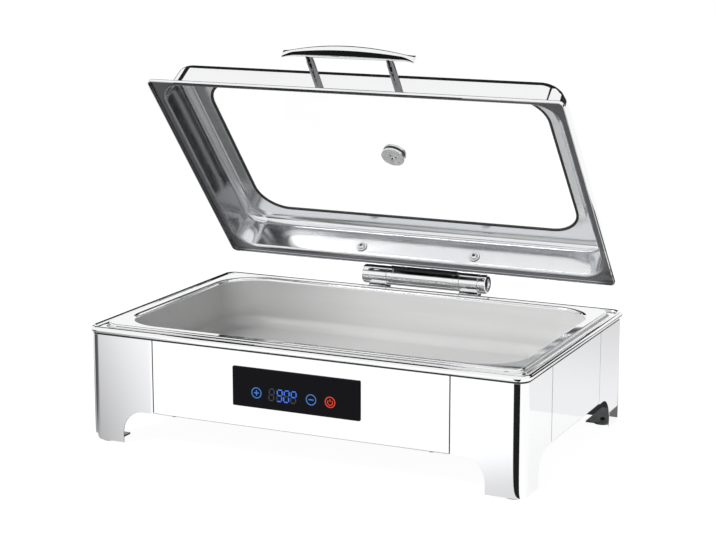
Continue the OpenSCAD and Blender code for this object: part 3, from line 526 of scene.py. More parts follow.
def thickened(bm, thickness, facing):
    """Turns a sheet's front to face a way, gives it a wall behind, and returns the wall's back."""
    bmesh.ops.remove_doubles(bm, verts=bm.verts[:], dist=MERGE)
    faces_out(bm)
    widest = max(bm.faces, key=lambda f: f.calc_area() * abs(f.normal.dot(facing)))
    if widest.normal.dot(facing) < 0:
        bmesh.ops.reverse_faces(bm, faces=bm.faces[:])
    back = bmesh.ops.solidify(bm, geom=bm.faces[:], thickness=thickness)["geom"]
    return [f for f in back if isinstance(f, bmesh.types.BMFace)]


def rim(outline, out, height, bend=0):
    """An outline's width, depth and corner radius grown outwards, its height and its bend."""
    width, depth, radius = outline
    return width + 2 * out, depth + 2 * out, radius + out, height, bend


def rounded_loop(bm, width, depth, radius, height, steps):
    """Draws a rounded rectangle as a closed run of edges and returns them."""
    known = set(bm.faces)
    verts = bmesh.ops.create_grid(bm, x_segments=1, y_segments=1, size=0.5)["verts"]
    bmesh.ops.scale(bm, vec=(width, depth, 1), verts=verts)
    bmesh.ops.translate(bm, vec=(0, 0, height), verts=verts)
    bevelled(bm, verts, "VERTICES", radius, steps)
    face = next(f for f in bm.faces if f not in known)
    edges = list(face.edges)
    bmesh.ops.delete(bm, geom=[face], context="FACES_ONLY")
    return edges


def pressed(rims, closed=False, filled=(), steps=12):
    """A sheet drawn through rims; closed joins the last to the first, filled closes some."""
    bm = bmesh.new()
    loops = [
        rounded_loop(bm, width, depth, radius, height + RIM_LIFT * count, steps)
        for count, (width, depth, radius, height, _) in enumerate(rims)
    ]
    for lower, upper in zip(loops, loops[1:]):
        bmesh.ops.bridge_loops(bm, edges=lower + upper)
    if closed:
        bmesh.ops.bridge_loops(bm, edges=loops[-1] + loops[0])
    for end in filled:
        bmesh.ops.edgeloop_fill(bm, edges=loops[end])
    for loop, (*_, bend) in zip(loops, rims):
        if bend:
            bevelled(bm, loop, "EDGES", bend, BEND_STEPS)
    return bm


def turned(profile, steps, closed=False, ease=0.3):
    """A shape turned about X from a profile of places along it and radii."""
    bm = bmesh.new()
    points = [bm.verts.new((along, 0, radius)) for along, radius in profile]
    runs = zip(points, points[1:] + points[:1] if closed else points[1:])
    edges = [bm.edges.new(run) for run in runs]
    bmesh.ops.spin(
        bm,
        geom=points + edges,
        cent=(0, 0, 0),
        axis=(1, 0, 0),
        angle=2 * math.pi,
        steps=steps,
        use_merge=True,
    )
    bmesh.ops.remove_doubles(bm, verts=bm.verts[:], dist=MERGE)
    return eased(faces_out(bm), ease, steps=3, angle=25)


def slab(width, depth, height, ease, steps=2):
    """A flat bar about the origin with its edges rounded."""
    bm = bmesh.new()
    bmesh.ops.create_cube(bm, size=1)
    bmesh.ops.scale(bm, vec=(width, depth, height), verts=bm.verts[:])
    return eased(bm, ease, steps)


def eased_copy(node, width):
    """A copy of a construction node with its sharp edges rounded, in metres."""
    bm = bmesh.new()
    bm.from_mesh(frame["nodes"][node].data)
    bmesh.ops.remove_doubles(bm, verts=bm.verts[:], dist=NODE_MERGE)
    bmesh.ops.dissolve_limit(
        bm, angle_limit=NODE_FLAT, verts=bm.verts[:], edges=bm.edges[:]
    )
    return eased(faces_out(bm), width, angle=40)


def piece(bm, name, body, slot, replaced=(), place=BASE, finishes=None):
    """Makes a shape a piece of the object that rides on a body and stands for nodes."""
    moved(bm, place)
    mesh = bpy.data.meshes.new(name)
    bm.to_mesh(mesh)
    bm.free()
    for material in finishes or [FINISHES[slot]]:
        mesh.materials.append(material)
    mesh.shade_smooth()
    mesh.set_sharp_from_angle(angle=CREASE)
    made = bpy.data.objects.new(name, mesh)
    bpy.context.scene.collection.objects.link(made)
    even = made.modifiers.new("even_shading", "WEIGHTED_NORMAL")
    even.keep_sharp = True
    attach(made, body)
    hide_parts(*replaced)


# Panels

RETURN_W = 14.0
FOLD_R = 2.2
EDGE_EASE = 0.25
NEAR = 0.01  # slack in finding an edge by its place

# Openings in the panels: middle along and up the panel, half width and half height
TOUCH_OPENING = (0, TOUCH_Z, 75.25, 17.5)
INLET_OPENING = (-INLET_X, INLET_Z, 13.8, 10.3)


def cut_opening(bm, x, z, half_w, half_h):
    """Cuts a rectangular opening in a sheet that stands along X."""
    for point, normal in (
        ((x - half_w, 0, 0), (1, 0, 0)),
        ((x + half_w, 0, 0), (1, 0, 0)),
        ((0, 0, z - half_h), (0, 0, 1)),
        ((0, 0, z + half_h), (0, 0, 1)),
    ):
        bmesh.ops.bisect_plane(
            bm,
            geom=bm.verts[:] + bm.edges[:] + bm.faces[:],
            plane_co=point,
            plane_no=normal,
        )
    inside = []
    for face in bm.faces:
        centre = face.calc_center_median()
        if abs(centre.x - x) < half_w and abs(centre.z - z) < half_h:
            inside.append(face)
    bmesh.ops.delete(bm, geom=inside, context="FACES")


def folded_panel(length, opening):
    """A panel along X with its outer face at Y = 0 and its lower edge turned in."""
    bm = bmesh.new()
    points = [
        bm.verts.new((-length / 2, y, z))
        for y, z in ((0, PANEL_TOP), (0, PANEL_Z), (RETURN_W, PANEL_Z))
    ]
    edges = [bm.edges.new(run) for run in zip(points, points[1:])]
    drawn = bmesh.ops.extrude_edge_only(bm, edges=edges)["geom"]
    far = [v for v in drawn if isinstance(v, bmesh.types.BMVert)]
    bmesh.ops.translate(bm, vec=(length, 0, 0), verts=far)
    fold = [
        e
        for e in bm.edges
        if all(abs(v.co.y) < NEAR and abs(v.co.z - PANEL_Z) < NEAR for v in e.verts)
    ]
    bevelled(bm, fold, "EDGES", FOLD_R, steps=6)
    if opening:
        cut_opening(bm, *opening)
    thickened(bm, SHEET_T, Vector((0, -1, 0)))
    return eased(bm, EDGE_EASE)


for side, degrees, reach, length, opening in (
    ("front", 0, HALF_D, FRONT_LEN, TOUCH_OPENING),
    ("back", 180, HALF_D, FRONT_LEN, INLET_OPENING),
    ("left", -90, HALF_W, SIDE_LEN, None),
    ("right", 90, HALF_W, SIDE_LEN, None),
):
    round_body = Matrix.Rotation(math.radians(degrees), 4, "Z")
    piece(
        moved(folded_panel(length, opening), round_body @ Matrix.Translation((0, -reach, 0))),
        f"{side}_panel_folded",
        "base",
        "polished_steel",
        [f"{side}_panel"],
    )


# Legs

FOOT_W = 46.0
ARCH_R = 28.0

# The dark strip behind a seam, painted shade for the seam's gap: its size, and its middle past the
# leg's edge and up
STRIP_W = 18.8
STRIP_H = 77.2
STRIP_PAST = 3.4
STRIP_Z = 83.6


def bent_leg():
    """A leg with its corner at the origin: two arched wings and the bend between them."""
    bm = bmesh.new()
    outline = (
        (CORNER_R, LEG_Z),
        (FOOT_W, LEG_Z),
        (FOOT_W, PANEL_Z),
        (LEG_W, PANEL_Z),
        (LEG_W, PANEL_TOP),
        (CORNER_R, PANEL_TOP),
    )
    corners = [bm.verts.new((x, 0, z)) for x, z in outline]
    bm.faces.new(corners)
    arch = corners[2]
    bevelled(bm, [arch], "VERTICES", ARCH_R, steps=16)
    wing = bmesh.ops.duplicate(bm, geom=bm.verts[:] + bm.edges[:] + bm.faces[:])["geom"]
    bmesh.ops.transform(
        bm, matrix=SWAP_XY, verts=[v for v in wing if isinstance(v, bmesh.types.BMVert)]
    )
    bend = next(
        e
        for e in bm.edges
        if all(abs(v.co.x - CORNER_R) < NEAR and abs(v.co.y) < NEAR for v in e.verts)
    )
    bmesh.ops.spin(
        bm,
        geom=[bend, *bend.verts],
        cent=(CORNER_R, CORNER_R, 0),
        axis=(0, 0, 1),
        angle=-math.pi / 2,
        steps=14,
    )
    thickened(bm, SHEET_T, Vector((0, -1, 0)))
    return eased(bm, EDGE_EASE)


def seam_strips():
    """The two dark strips behind a leg's seams, painted shade for the gaps."""
    strip = slab(STRIP_W, SHEET_T, STRIP_H, 0.2)
    moved(strip, Matrix.Translation((LEG_W + STRIP_PAST, 1.5 * SHEET_T, STRIP_Z)))
    return gathered([strip, moved(strip.copy(), SWAP_XY)])


for across, side_x in (("left", -1), ("right", 1)):
    for along, side_y in (("front", -1), ("back", 1)):
        place = Matrix.Translation((side_x * HALF_W, side_y * HALF_D, 0)) @ Matrix.Diagonal(
            (-side_x, -side_y, 1, 1)
        )
        piece(
            moved(bent_leg(), place),
            f"{along}_{across}_leg_bent",
            "base",
            "polished_steel",
            [f"leg_{along}_{across}"],
        )
        # The strips take the dark painted shade
        piece(
            moved(seam_strips(), place),
            f"{along}_{across}_seam_strips",
            "base",
            "plain_steel",
            finishes=[SEAM_SHADE],
        )


# Rim

# Outlines are a width, a depth and a corner radius
BODY = (2 * HALF_W, 2 * HALF_D, CORNER_R)
RIM_OPENING = (515, 310, 58.5)
BEAD_R = 4
BEAD_IN = 1.5  # from the body's outline in to the bead's middle
SKIRT_TOP = LEDGE_Z - 3
SKIRT_FOOT = RIM_Z - 12


def rolled_rim():
    """The rim: a ledge that ends in a rolled bead, and a skirt behind the panels."""
    rims = [rim(RIM_OPENING, 0, LEDGE_Z - SHEET_T), rim(RIM_OPENING, 0, LEDGE_Z)]
    for degrees in range(160, -180, -20):
        angle = math.radians(degrees)
        out = BEAD_R * math.cos(angle) - BEAD_IN
        rims.append(rim(BODY, out, LEDGE_Z + BEAD_R * math.sin(angle)))
    bead = faces_out(pressed(rims, closed=True))
    skirt = faces_out(
        pressed(
            [
                rim(BODY, -SHEET_T, SKIRT_TOP),
                rim(BODY, -SHEET_T, SKIRT_FOOT),
                rim(BODY, -2 * SHEET_T, SKIRT_FOOT),
                rim(BODY, -2 * SHEET_T, SKIRT_TOP),
            ],
            closed=True,
        )
    )
    # The skirt shows in the gap above the panels and takes the dark painted shade
    for face in skirt.faces:
        face.material_index = 1
    return gathered([bead, skirt])


piece(
    rolled_rim(),
    "top_rim_rolled",
    "base",
    "polished_steel",
    ["top_rim"],
    finishes=[FINISHES["polished_steel"], SEAM_SHADE],
)


# Feet

FOOT_IN = 17.6  # from the body's sides in to a foot's middle
FOOT_PROFILE = (
    (0.9, 0),
    (0.9, 4.2),
    (0, 4.8),
    (0, 11.2),
    (0.8, 12),
    (3, 11.4),
    (3, 3),
    (7, 2.6),
    (7, 0),
)
piece(
    gathered(
        moved(turned(FOOT_PROFILE, steps=40), Matrix.Translation((x, y, 0)) @ POINT_UP)
        for x, y in four_ways(HALF_W - FOOT_IN, HALF_D - FOOT_IN)
    ),
    "rubber_feet_moulded",
    "base",
    "black_rubber",
    ["rubber_feet"],
)


# Food pan

PAN_T = 1.0
PAN_DEPTH = 64
PAN_LIP = 4.8
PAN_POLISHED = 3.6  # depth from the top to which the pan is polished
PAN_FLANGE = (530, 325, 20)
PAN_MOUTH = (502, 297, 52)
PAN_FLOOR = (493.05, 288.05, 47.5)

pan = pressed(
    [
        rim(PAN_FLANGE, 0, FOOD_Z - PAN_LIP),
        rim(PAN_FLANGE, 0, FOOD_Z, bend=1.8),
        rim(PAN_MOUTH, 0, FOOD_Z, bend=4),
        rim(PAN_FLOOR, 0, FOOD_Z - PAN_DEPTH, bend=14.9),
    ],
    filled=[-1],
    steps=16,
)
thickened(pan, PAN_T, Vector((0, 0, 1)))
for face in pan.faces:
    face.material_index = int(face.calc_center_median().z > FOOD_Z - PAN_POLISHED)
piece(
    eased(pan, 0.2),
    "food_pan_pressed",
    "base",
    "satin_steel",
    ["food_pan"],
    finishes=[FINISHES["satin_steel"], FINISHES["polished_steel"]],
)


# Controls

TOUCH_GLASS = (162.5, 47, 1.5)
TOUCH_FACE = -HALF_D - TOUCH_T
LIT_T = 0.06

ICON_Z = 86.5
ICON_R = 6
ICON_RING_W = 1.1
ICON_BAR = 6.4
ICON_BAR_W = 1.3
PLUS_X = -50
MINUS_X = 20

# The power mark: a ring round an open arc and a short bar
POWER_X = 44
POWER_RING_W = 1.2
POWER_ARC_R = 3.1
POWER_ARC_DROP = 0.3
POWER_SWEEP = 270
POWER_BAR = 3.2
POWER_BAR_RISE = 2
POWER_LINE_W = 1.1

# Digits: their middles, and how far their bars lie out and up from there
DIGITS_X = (-30.5, -20.2, -11.3, -2.4)
DIGIT_OUT = 3.1
DIGIT_UP = 6.8
DIGIT_LEAN = 0.1
SEGMENT_LEN = 4.8
SEGMENT_W = 1.4
SEGMENTS = {
    "a": (0, DIGIT_UP, 0),
    "g": (0, 0, 0),
    "d": (0, -DIGIT_UP, 0),
    "f": (-DIGIT_OUT, DIGIT_UP / 2, 90),
    "b": (DIGIT_OUT, DIGIT_UP / 2, 90),
    "e": (-DIGIT_OUT, -DIGIT_UP / 2, 90),
    "c": (DIGIT_OUT, -DIGIT_UP / 2, 90),
}

touch_glass = pressed(
    [rim(TOUCH_GLASS, 0, 0), rim(TOUCH_GLASS, 0, TOUCH_T, bend=0.5)], filled=[0, 1], steps=4
)
piece(
    moved(
        faces_out(touch_glass),
        Matrix.Translation((0, -HALF_D, TOUCH_Z)) @ Matrix.Rotation(math.pi / 2, 4, "X"),
    ),
    "touch_glass_ground",
    "base",
    "black_glass",
    ["touch_glass"],
)


def on_glass(bm, x, z):
    """Lays a flat symbol, drawn about the origin in X and Z, on the touch glass."""
    return moved(bm, Matrix.Translation((x, TOUCH_FACE - LIT_T / 2, z)))


def bar(length, width, degrees=0):
    """A lit bar along X, turned about Y."""
    return moved(
        slab(length, LIT_T, width, 0.02, steps=1),
        Matrix.Rotation(math.radians(degrees), 4, "Y"),
    )


def ring(radius, width, sweep=360):
    """A lit ring, or an arc open at its top."""
    bm = bmesh.new()
    low, high = radius - width / 2, radius + width / 2
    near, far = -LIT_T / 2, LIT_T / 2
    corners = [
        bm.verts.new((0, y, r)) for r, y in ((low, near), (high, near), (high, far), (low, far))
    ]
    edges = [bm.edges.new(run) for run in zip(corners, corners[1:] + corners[:1])]
    full = sweep >= 360
    caps = [] if full else [bm.faces.new(corners)]
    bmesh.ops.rotate(
        bm,
        verts=corners,
        cent=(0, 0, 0),
        matrix=Matrix.Rotation(math.radians(180 - sweep / 2), 3, "Y"),
    )
    bmesh.ops.spin(
        bm,
        geom=corners + edges + caps,
        cent=(0, 0, 0),
        axis=(0, 1, 0),
        angle=math.radians(sweep),
        steps=48,
        use_merge=full,
    )
    bmesh.ops.remove_doubles(bm, verts=bm.verts[:], dist=MERGE)
    return faces_out(bm)


def digit(names, x):
    """The named segments of a digit whose middle is at x."""
    shapes = []
    for name in names:
        out, up, degrees = SEGMENTS[name]
        segment = bar(SEGMENT_LEN, SEGMENT_W, degrees)
        shapes.append(on_glass(segment, x + out + DIGIT_LEAN * up, ICON_Z + up))
    return shapes


def symbols(shapes, name, glow):
    """Makes lit shapes one piece on the touch glass."""
    piece(gathered(shapes), name, "base", "black_glass", finishes=[glow])


blank_digit, nine, nought, degree_sign = DIGITS_X
symbols(
    [
        on_glass(ring(ICON_R, ICON_RING_W), PLUS_X, ICON_Z),
        on_glass(bar(ICON_BAR, ICON_BAR_W), PLUS_X, ICON_Z),
        on_glass(bar(ICON_BAR, ICON_BAR_W, 90), PLUS_X, ICON_Z),
        on_glass(ring(ICON_R, ICON_RING_W), MINUS_X, ICON_Z),
        on_glass(bar(ICON_BAR, ICON_BAR_W), MINUS_X, ICON_Z),
    ],
    "lit_plus_and_minus",
    PALE_BLUE_GLOW,
)
symbols(
    digit("abcdfg", nine) + digit("abcdef", nought) + digit("abfg", degree_sign),
    "lit_digits",
    BLUE_GLOW,
)
symbols(
    [
        *digit("abcdefg", blank_digit),
        *digit("e", nine),
        *digit("g", nought),
        *digit("ced", degree_sign),
    ],
    "unlit_digits",
    UNLIT_SEGMENTS_PAINTED_GLOW,
)
symbols(
    [
        on_glass(ring(ICON_R, POWER_RING_W), POWER_X, ICON_Z),
        on_glass(
            ring(POWER_ARC_R, POWER_LINE_W, POWER_SWEEP), POWER_X, ICON_Z - POWER_ARC_DROP
        ),
        on_glass(bar(POWER_BAR, POWER_LINE_W, 90), POWER_X, ICON_Z + POWER_BAR_RISE),
    ],
    "lit_power_mark",
    RED_GLOW,
)


# Fasteners

# A screw's head as shares of its height and radius: its recess, then its dome down to the seat
RECESS = ((0.45, 0), (0.45, 0.42), (1, 0.47))
DOME = ((0.97, 0.56), (0.8, 0.76), (0.45, 0.95), (0.2, 1), (0, 1))
RECESS_EDGE = 0.465
WASHER_T = 1.0
HEAD_LINE = 0.4  # width of the painted shade line round a head on a washer
EDGE_LINE = 0.5  # width of the painted shade line along a washer's edge
HEAD_SLACK = 0.1  # a flat face's middle lies a little nearer the axis than its corners
EDGE_SLACK = 0.05

LID_SCREW_X = 79
LID_SCREW_RISE = 12
VENT_SCREW_Z = 39.8
BRACKET_T = 3.0
BRACKET_SCREW_X = 35
BRACKET_SCREWS_Z = (104.5, 116.2)
INLET_FLANGE_T = 2.5
INLET_SCREW_OUT = 20
TRAY_SCREWS = ((165.2, 166.8), (269.3, 62.7))
HEATER_SCREW = (170, 86)


def screw(head_d, head_h, shank_d, length, washer_d=0.0):
    """A round-headed screw along X: head before the origin, with a recess, and shank after it."""
    r = head_d / 2
    outer = washer_d / 2
    shank_r = shank_d / 2
    seat = [(0, shank_r)]
    if washer_d:
        seat = [
            (0, r + HEAD_LINE),
            (0, outer - EDGE_LINE),
            (0, outer),
            (WASHER_T, outer),
            (WASHER_T, shank_r),
        ]
    head = [(-up * head_h, out * r) for up, out in RECESS + DOME]
    bm = turned(head + seat + [(length, shank_r), (length, 0)], steps=32, ease=0.12)
    # Painted shade: the recess, and on a washer a ring round the head and its edge, take the dark
    # finish
    for face in bm.faces:
        centre = face.calc_center_median()
        out = math.hypot(centre.y, centre.z)
        dark = centre.x < 0 and out < RECESS_EDGE * r
        if washer_d:
            dark |= out > outer - EDGE_LINE - EDGE_SLACK
            dark |= r - HEAD_SLACK < out < r + HEAD_LINE
        face.material_index = int(dark)
    return bm


def screws(node, body, places, place=BASE, **sizes):
    """Puts a screw at each place and makes them one piece that stands for a node."""
    piece(
        gathered(moved(screw(**sizes), matrix) for matrix in places),
        f"{node}_domed",
        body,
        "bright_fasteners",
        [node],
        place,
        [FINISHES["bright_fasteners"], SEAM_SHADE],
    )


screws(
    "lid_hinge_screws",
    "lid",
    [
        BACK_WALL
        @ Matrix.Translation((side * LID_SCREW_X, -LID_T - WASHER_T, LID_SCREW_RISE))
        @ POINT_BACK
        for side in SIDES
    ],
    LID,
    head_d=9,
    head_h=3,
    shank_d=5,
    length=10.7,
    washer_d=14,
)
screws(
    "handle_screws",
    "lid",
    [
        FRONT_WALL @ Matrix.Translation((side * POST_X, -LID_T, HANDLE_RISE)) @ POINT_BACK
        for side in SIDES
    ],
    LID,
    head_d=8,
    head_h=2.2,
    shank_d=4,
    length=18,
)
screws(
    "vent_screw",
    "lid",
    [Matrix.Translation((0, 0, VENT_SCREW_Z)) @ POINT_UP],
    LID,
    head_d=5.4,
    head_h=1.6,
    shank_d=4,
    length=14.3,
)
screws(
    "hinge_bracket_screws",
    "base",
    [
        Matrix.Translation((side * BRACKET_SCREW_X, HALF_D + BRACKET_T, z)) @ POINT_FRONT
        for side in SIDES
        for z in BRACKET_SCREWS_Z
    ],
    head_d=9,
    head_h=3,
    shank_d=5,
    length=9.2,
)
screws(
    "inlet_screws",
    "base",
    [
        Matrix.Translation((INLET_X + out, HALF_D + INLET_FLANGE_T, INLET_Z)) @ POINT_FRONT
        for out in (-INLET_SCREW_OUT, INLET_SCREW_OUT)
    ],
    head_d=5.6,
    head_h=1.8,
    shank_d=3,
    length=7.7,
)
screws(
    "tray_screws",
    "base",
    [
        Matrix.Translation((x, y, PANEL_Z)) @ POINT_UP
        for quarter in TRAY_SCREWS
        for x, y in four_ways(*quarter)
    ],
    head_d=8,
    head_h=2.2,
    shank_d=4,
    length=4.4,
)
screws(
    "heater_screws",
    "base",
    [Matrix.Translation((x, y, TRAY_Z)) @ POINT_UP for x, y in four_ways(*HEATER_SCREW)],
    head_d=8,
    head_h=2.2,
    shank_d=4,
    length=18.3,
)


# Hinge

BARREL_R = 12.75
BARREL_BORE = 9.3
BARREL_HALF = 51.0
SLEEVE_OUT = 76.5
PIN_BORE = 5.1
COLLAR_W = 3
HINGE_STEPS = 72

# Two grooves round the barrel: where they start, and their outline
GROOVES_X = (-44, 42.2)
GROOVE = ((0, BARREL_R), (0.5, 12.2), (1.3, 12.2), (1.8, BARREL_R))
BARREL = (
    (-BARREL_HALF, BARREL_BORE),
    (-BARREL_HALF, BARREL_R),
    *((start + x, r) for start in GROOVES_X for x, r in GROOVE),
    (BARREL_HALF, BARREL_R),
    (BARREL_HALF, BARREL_BORE),
)
LEFT_CAP = (
    (5.8, 0),
    (5.8, PIN_BORE),
    (0, PIN_BORE),
    (0, BARREL_R),
    (7.8, BARREL_R),
    (9.4, 12.2),
    (10.5, 11.1),
    (11, 9.5),
    (11, 0),
)
COLLAR = (
    (0, PIN_BORE),
    (0, 11.6),
    (0.6, 11.95),
    (2.4, 11.95),
    (COLLAR_W, 11.6),
    (COLLAR_W, PIN_BORE),
)
RIGHT_CAP = (
    (4.3, 0),
    (4.3, PIN_BORE),
    (0, PIN_BORE),
    (0, BARREL_R),
    (5.8, BARREL_R),
    (7.2, 12.2),
    (7.9, 11.2),
    (8, 10.2),
    (8, 6.4),
    (6.6, 5.9),
    (6.6, 0),
)


def hinge_end(node, profile, x, degrees=0, closed=False):
    """A piece turned about the hinge's axis that belongs to the base."""
    heading = Matrix.Rotation(math.radians(degrees), 4, "Z")
    piece(
        moved(
            turned(profile, HINGE_STEPS, closed),
            Matrix.Translation((x, HINGE_Y, HINGE_Z)) @ heading,
        ),
        f"{node}_turned",
        "base",
        "chrome",
        [node],
    )


piece(
    moved(
        turned(BARREL, HINGE_STEPS, closed=True, ease=0.6),
        Matrix.Translation((0, HINGE_Y, HINGE_RISE)),
    ),
    "hinge_barrel_turned",
    "lid",
    "chrome",
    ["hinge_barrel"],
    LID,
)
hinge_end("hinge_left_cap", LEFT_CAP, -SLEEVE_OUT, degrees=180)
hinge_end("hinge_collar", COLLAR, SLEEVE_OUT, closed=True)
hinge_end("hinge_right_cap", RIGHT_CAP, SLEEVE_OUT + COLLAR_W)


# Construction nodes with their edges rounded, by a width in metres

for node, body, slot, ease in (
    ("hinge_bracket", "base", "chrome", 0.0009),
    ("lid_hinge_nuts", "lid", "bright_fasteners", 0.0003),
    ("vent_seat", "lid", "vent_steel", 0.0005),
    ("vent_dial", "vent_dial", "vent_steel", 0.0005),
    ("vent_nut", "lid", "bright_fasteners", 0.0003),
    ("power_inlet", "base", "black_plastic", 0.0004),
):
    piece(eased_copy(node, ease), f"{node}_eased", body, slot, [node], METRES)
# The lid's hinge bracket, near-black as painted shade
piece(
    eased_copy("hinge_lid_bracket", 0.0004),
    "hinge_lid_bracket_painted_shade",
    "lid",
    "chrome",
    ["hinge_lid_bracket"],
    METRES,
    [LID_BRACKET_PAINTED_SHADE],
)


# Inlet

# Blades: their size, how deep they lie behind the panel, and their middles across and up
BLADE = (2.2, 10.6, 4.2)
BLADE_IN = 9
BLADES = ((-7, 4), (0, 1), (7, 4))
piece(
    gathered(
        moved(
            slab(*BLADE, ease=0.4),
            Matrix.Translation((INLET_X + across, HALF_D - BLADE_IN, INLET_Z + up)),
        )
        for across, up in BLADES
    ),
    "inlet_blades",
    "base",
    "bright_fasteners",
)


# Lid

FLANGE_FOOT = -3.5
GLASS_Z = 42.0  # the sunk ledge that carries the glass
LID_FLANGE_EDGE = (536, 331, 7)
LID_WALL_FOOT = (516, WALL_D, 32)
LID_WALL_TOP = (508.16, 303.16, 28.1)
LID_OPENING = (450, 245, 42)
GLASS_LEDGE_W = 7.3

lid = pressed(
    [
        rim(LID_FLANGE_EDGE, 0, FLANGE_FOOT),
        rim(LID_FLANGE_EDGE, 0, LID_T, bend=1.7),
        rim(LID_WALL_FOOT, 0, LID_T, bend=2.4),
        rim(LID_WALL_TOP, 0, LID_H, bend=12.83),
        rim(LID_OPENING, GLASS_LEDGE_W, LID_H, bend=1.2),
        rim(LID_OPENING, GLASS_LEDGE_W, GLASS_Z),
        rim(LID_OPENING, 0, GLASS_Z),
    ],
    steps=16,
)
# The inside takes the satin finish, and the flange's underside the near-black painted shade
for face in thickened(lid, LID_T, Vector((0, 0, 1))):
    under_flange = face.normal.z < -0.9 and face.calc_center_median().z < 1
    face.material_index = 2 if under_flange else 1
piece(
    eased(lid, 0.2),
    "lid_pressed",
    "lid",
    "polished_steel",
    ["lid_shell"],
    LID,
    [FINISHES["polished_steel"], LID_INSIDE_FINISH, LID_FLANGE_PAINTED_SHADE],
)


# Seal of the lid's glass

# How far outside the lid's opening, or inside it, the seal reaches, and its heights
SEAL_OUT = 6.5
SEAL_LIP = -3.5
SEAL_NECK = -0.3
SEAL_FOOT = 40.4
SEAL_SEAT = 42.02
SEAL_TOP = 42.7

seal = pressed(
    [
        rim(LID_OPENING, SEAL_OUT, SEAL_SEAT),
        rim(LID_OPENING, SEAL_OUT, SEAL_TOP),
        rim(LID_OPENING, SEAL_LIP, SEAL_TOP),
        rim(LID_OPENING, SEAL_LIP, SEAL_FOOT),
        rim(LID_OPENING, SEAL_NECK, SEAL_FOOT),
        rim(LID_OPENING, SEAL_NECK, SEAL_SEAT),
    ],
    closed=True,
    steps=16,
)
piece(
    eased(faces_out(seal), 0.25), "glass_seal_moulded", "lid", "black_rubber", ["glass_seal"], LID
)


# Handle

BAR_HALF = 85.0
BAR_STEPS = 24
BAR_DEPTH = 18
BAR_TIP_DEPTH = 6
BAR_W = 12
NECK_W = 6.5
NECK_X = 0.83 * BAR_HALF
POST_PROFILE = ((0, 2.1), (0, 4.75), (26, 4.75), (28, 4.2), (36, 4.2), (36, 0))


def bar_section(x):
    """The depth and the width of the handle's bar at a place along it."""
    depth = BAR_DEPTH - (BAR_DEPTH - BAR_TIP_DEPTH) * (x / BAR_HALF) ** 2
    if abs(x) < NECK_X:
        return depth, BAR_W - (BAR_W - NECK_W) * (x / NECK_X) ** 2
    flare = (abs(x) - NECK_X) / (BAR_HALF - NECK_X)
    return depth, NECK_W + (BAR_W - NECK_W) * flare**2


def handle_bow():
    """The handle's bar along X: a bow with a thick middle, two necks and flared tips."""
    bm = bmesh.new()
    verts = bmesh.ops.create_circle(bm, cap_ends=False, segments=28, radius=0.5)["verts"]
    bmesh.ops.rotate(
        bm, verts=verts, cent=(0, 0, 0), matrix=Matrix.Rotation(math.pi / 2, 3, "Y")
    )
    section = bm.edges[:]
    ends = [section]
    for step in range(-BAR_STEPS, BAR_STEPS + 1):
        if step > -BAR_STEPS:
            drawn = bmesh.ops.extrude_edge_only(bm, edges=section)["geom"]
            verts = [v for v in drawn if isinstance(v, bmesh.types.BMVert)]
            edges = [e for e in drawn if isinstance(e, bmesh.types.BMEdge)]
            section = [e for e in edges if all(v in verts for v in e.verts)]
        x = BAR_HALF * step / BAR_STEPS
        depth, width = bar_section(x)
        centre = sum((v.co for v in verts), Vector()) / len(verts)
        spread_y = max(v.co.y for v in verts) - min(v.co.y for v in verts)
        spread_z = max(v.co.z for v in verts) - min(v.co.z for v in verts)
        bmesh.ops.translate(bm, vec=-centre, verts=verts)
        bmesh.ops.scale(bm, vec=(1, depth / spread_y, width / spread_z), verts=verts)
        bmesh.ops.translate(bm, vec=(x, depth / 2, 0), verts=verts)
    ends.append(section)
    for edges in ends:
        bmesh.ops.edgeloop_fill(bm, edges=edges)
    return eased(faces_out(bm), 0.8, steps=3, angle=60)


piece(
    moved(handle_bow(), FRONT_WALL @ Matrix.Translation((0, POST_LEN, HANDLE_RISE))),
    "handle_bar_bowed",
    "lid",
    "chrome",
    ["handle_bar"],
    LID,
)
# The posts are chrome, darkened as a painted reflection
piece(
    gathered(
        moved(
            turned(POST_PROFILE, steps=40),
            FRONT_WALL @ Matrix.Translation((side * POST_X, 0, HANDLE_RISE)) @ POINT_BACK,
        )
        for side in SIDES
    ),
    "handle_posts_turned",
    "lid",
    "chrome",
    ["handle_posts"],
    LID,
    [POSTS_PAINTED_DARK_REFLECTION],
)


# Construction nodes that are shown as they are

for part in frame["record"]["subparts"]:
    node = frame["nodes"][part["node"]]
    if not node.hide_render:
        node.data.materials.clear()
        node.data.materials.append(FINISHES[part["material_slot"]])


# Studio, in metres

FLOOR_HALF = 9
LAYER = 0.0002  # the cards on the floor lie in layers, so that no two share a plane
CARD_TINT = (1, 1, 1.01)
BLACK = 0.015
CHARCOAL = 0.03


def even_light(tree, colour, strength):
    """A plain glow of one colour."""
    node = tree.nodes.new("ShaderNodeEmission")
    node.inputs["Color"].default_value = (*colour, 1)
    node.inputs["Strength"].default_value = strength
    return node


def seen_directly(tree):
    """One for rays from the camera, a mirror or clear glass, and nought for the room's light."""
    path = tree.nodes.new("ShaderNodeLightPath")
    kind = path.outputs["Is Camera Ray"]
    for other in ("Is Glossy Ray", "Is Transmission Ray"):
        either = tree.nodes.new("ShaderNodeMath")
        either.operation = "MAXIMUM"
        tree.links.new(kind, either.inputs[0])
        tree.links.new(path.outputs[other], either.inputs[1])
        kind = either.outputs["Value"]
    return kind


def oblong(x0, x1, y0, y1, z):
    """The corners of a level rectangle."""
    return [(x0, y0, z), (x1, y0, z), (x1, y1, z), (x0, y1, z)]


def upright(x0, y0, x1, y1, z0, z1):
    """The corners of a rectangle that stands between two places on the floor."""
    return [(x0, y0, z0), (x1, y1, z0), (x1, y1, z1), (x0, y0, z1)]


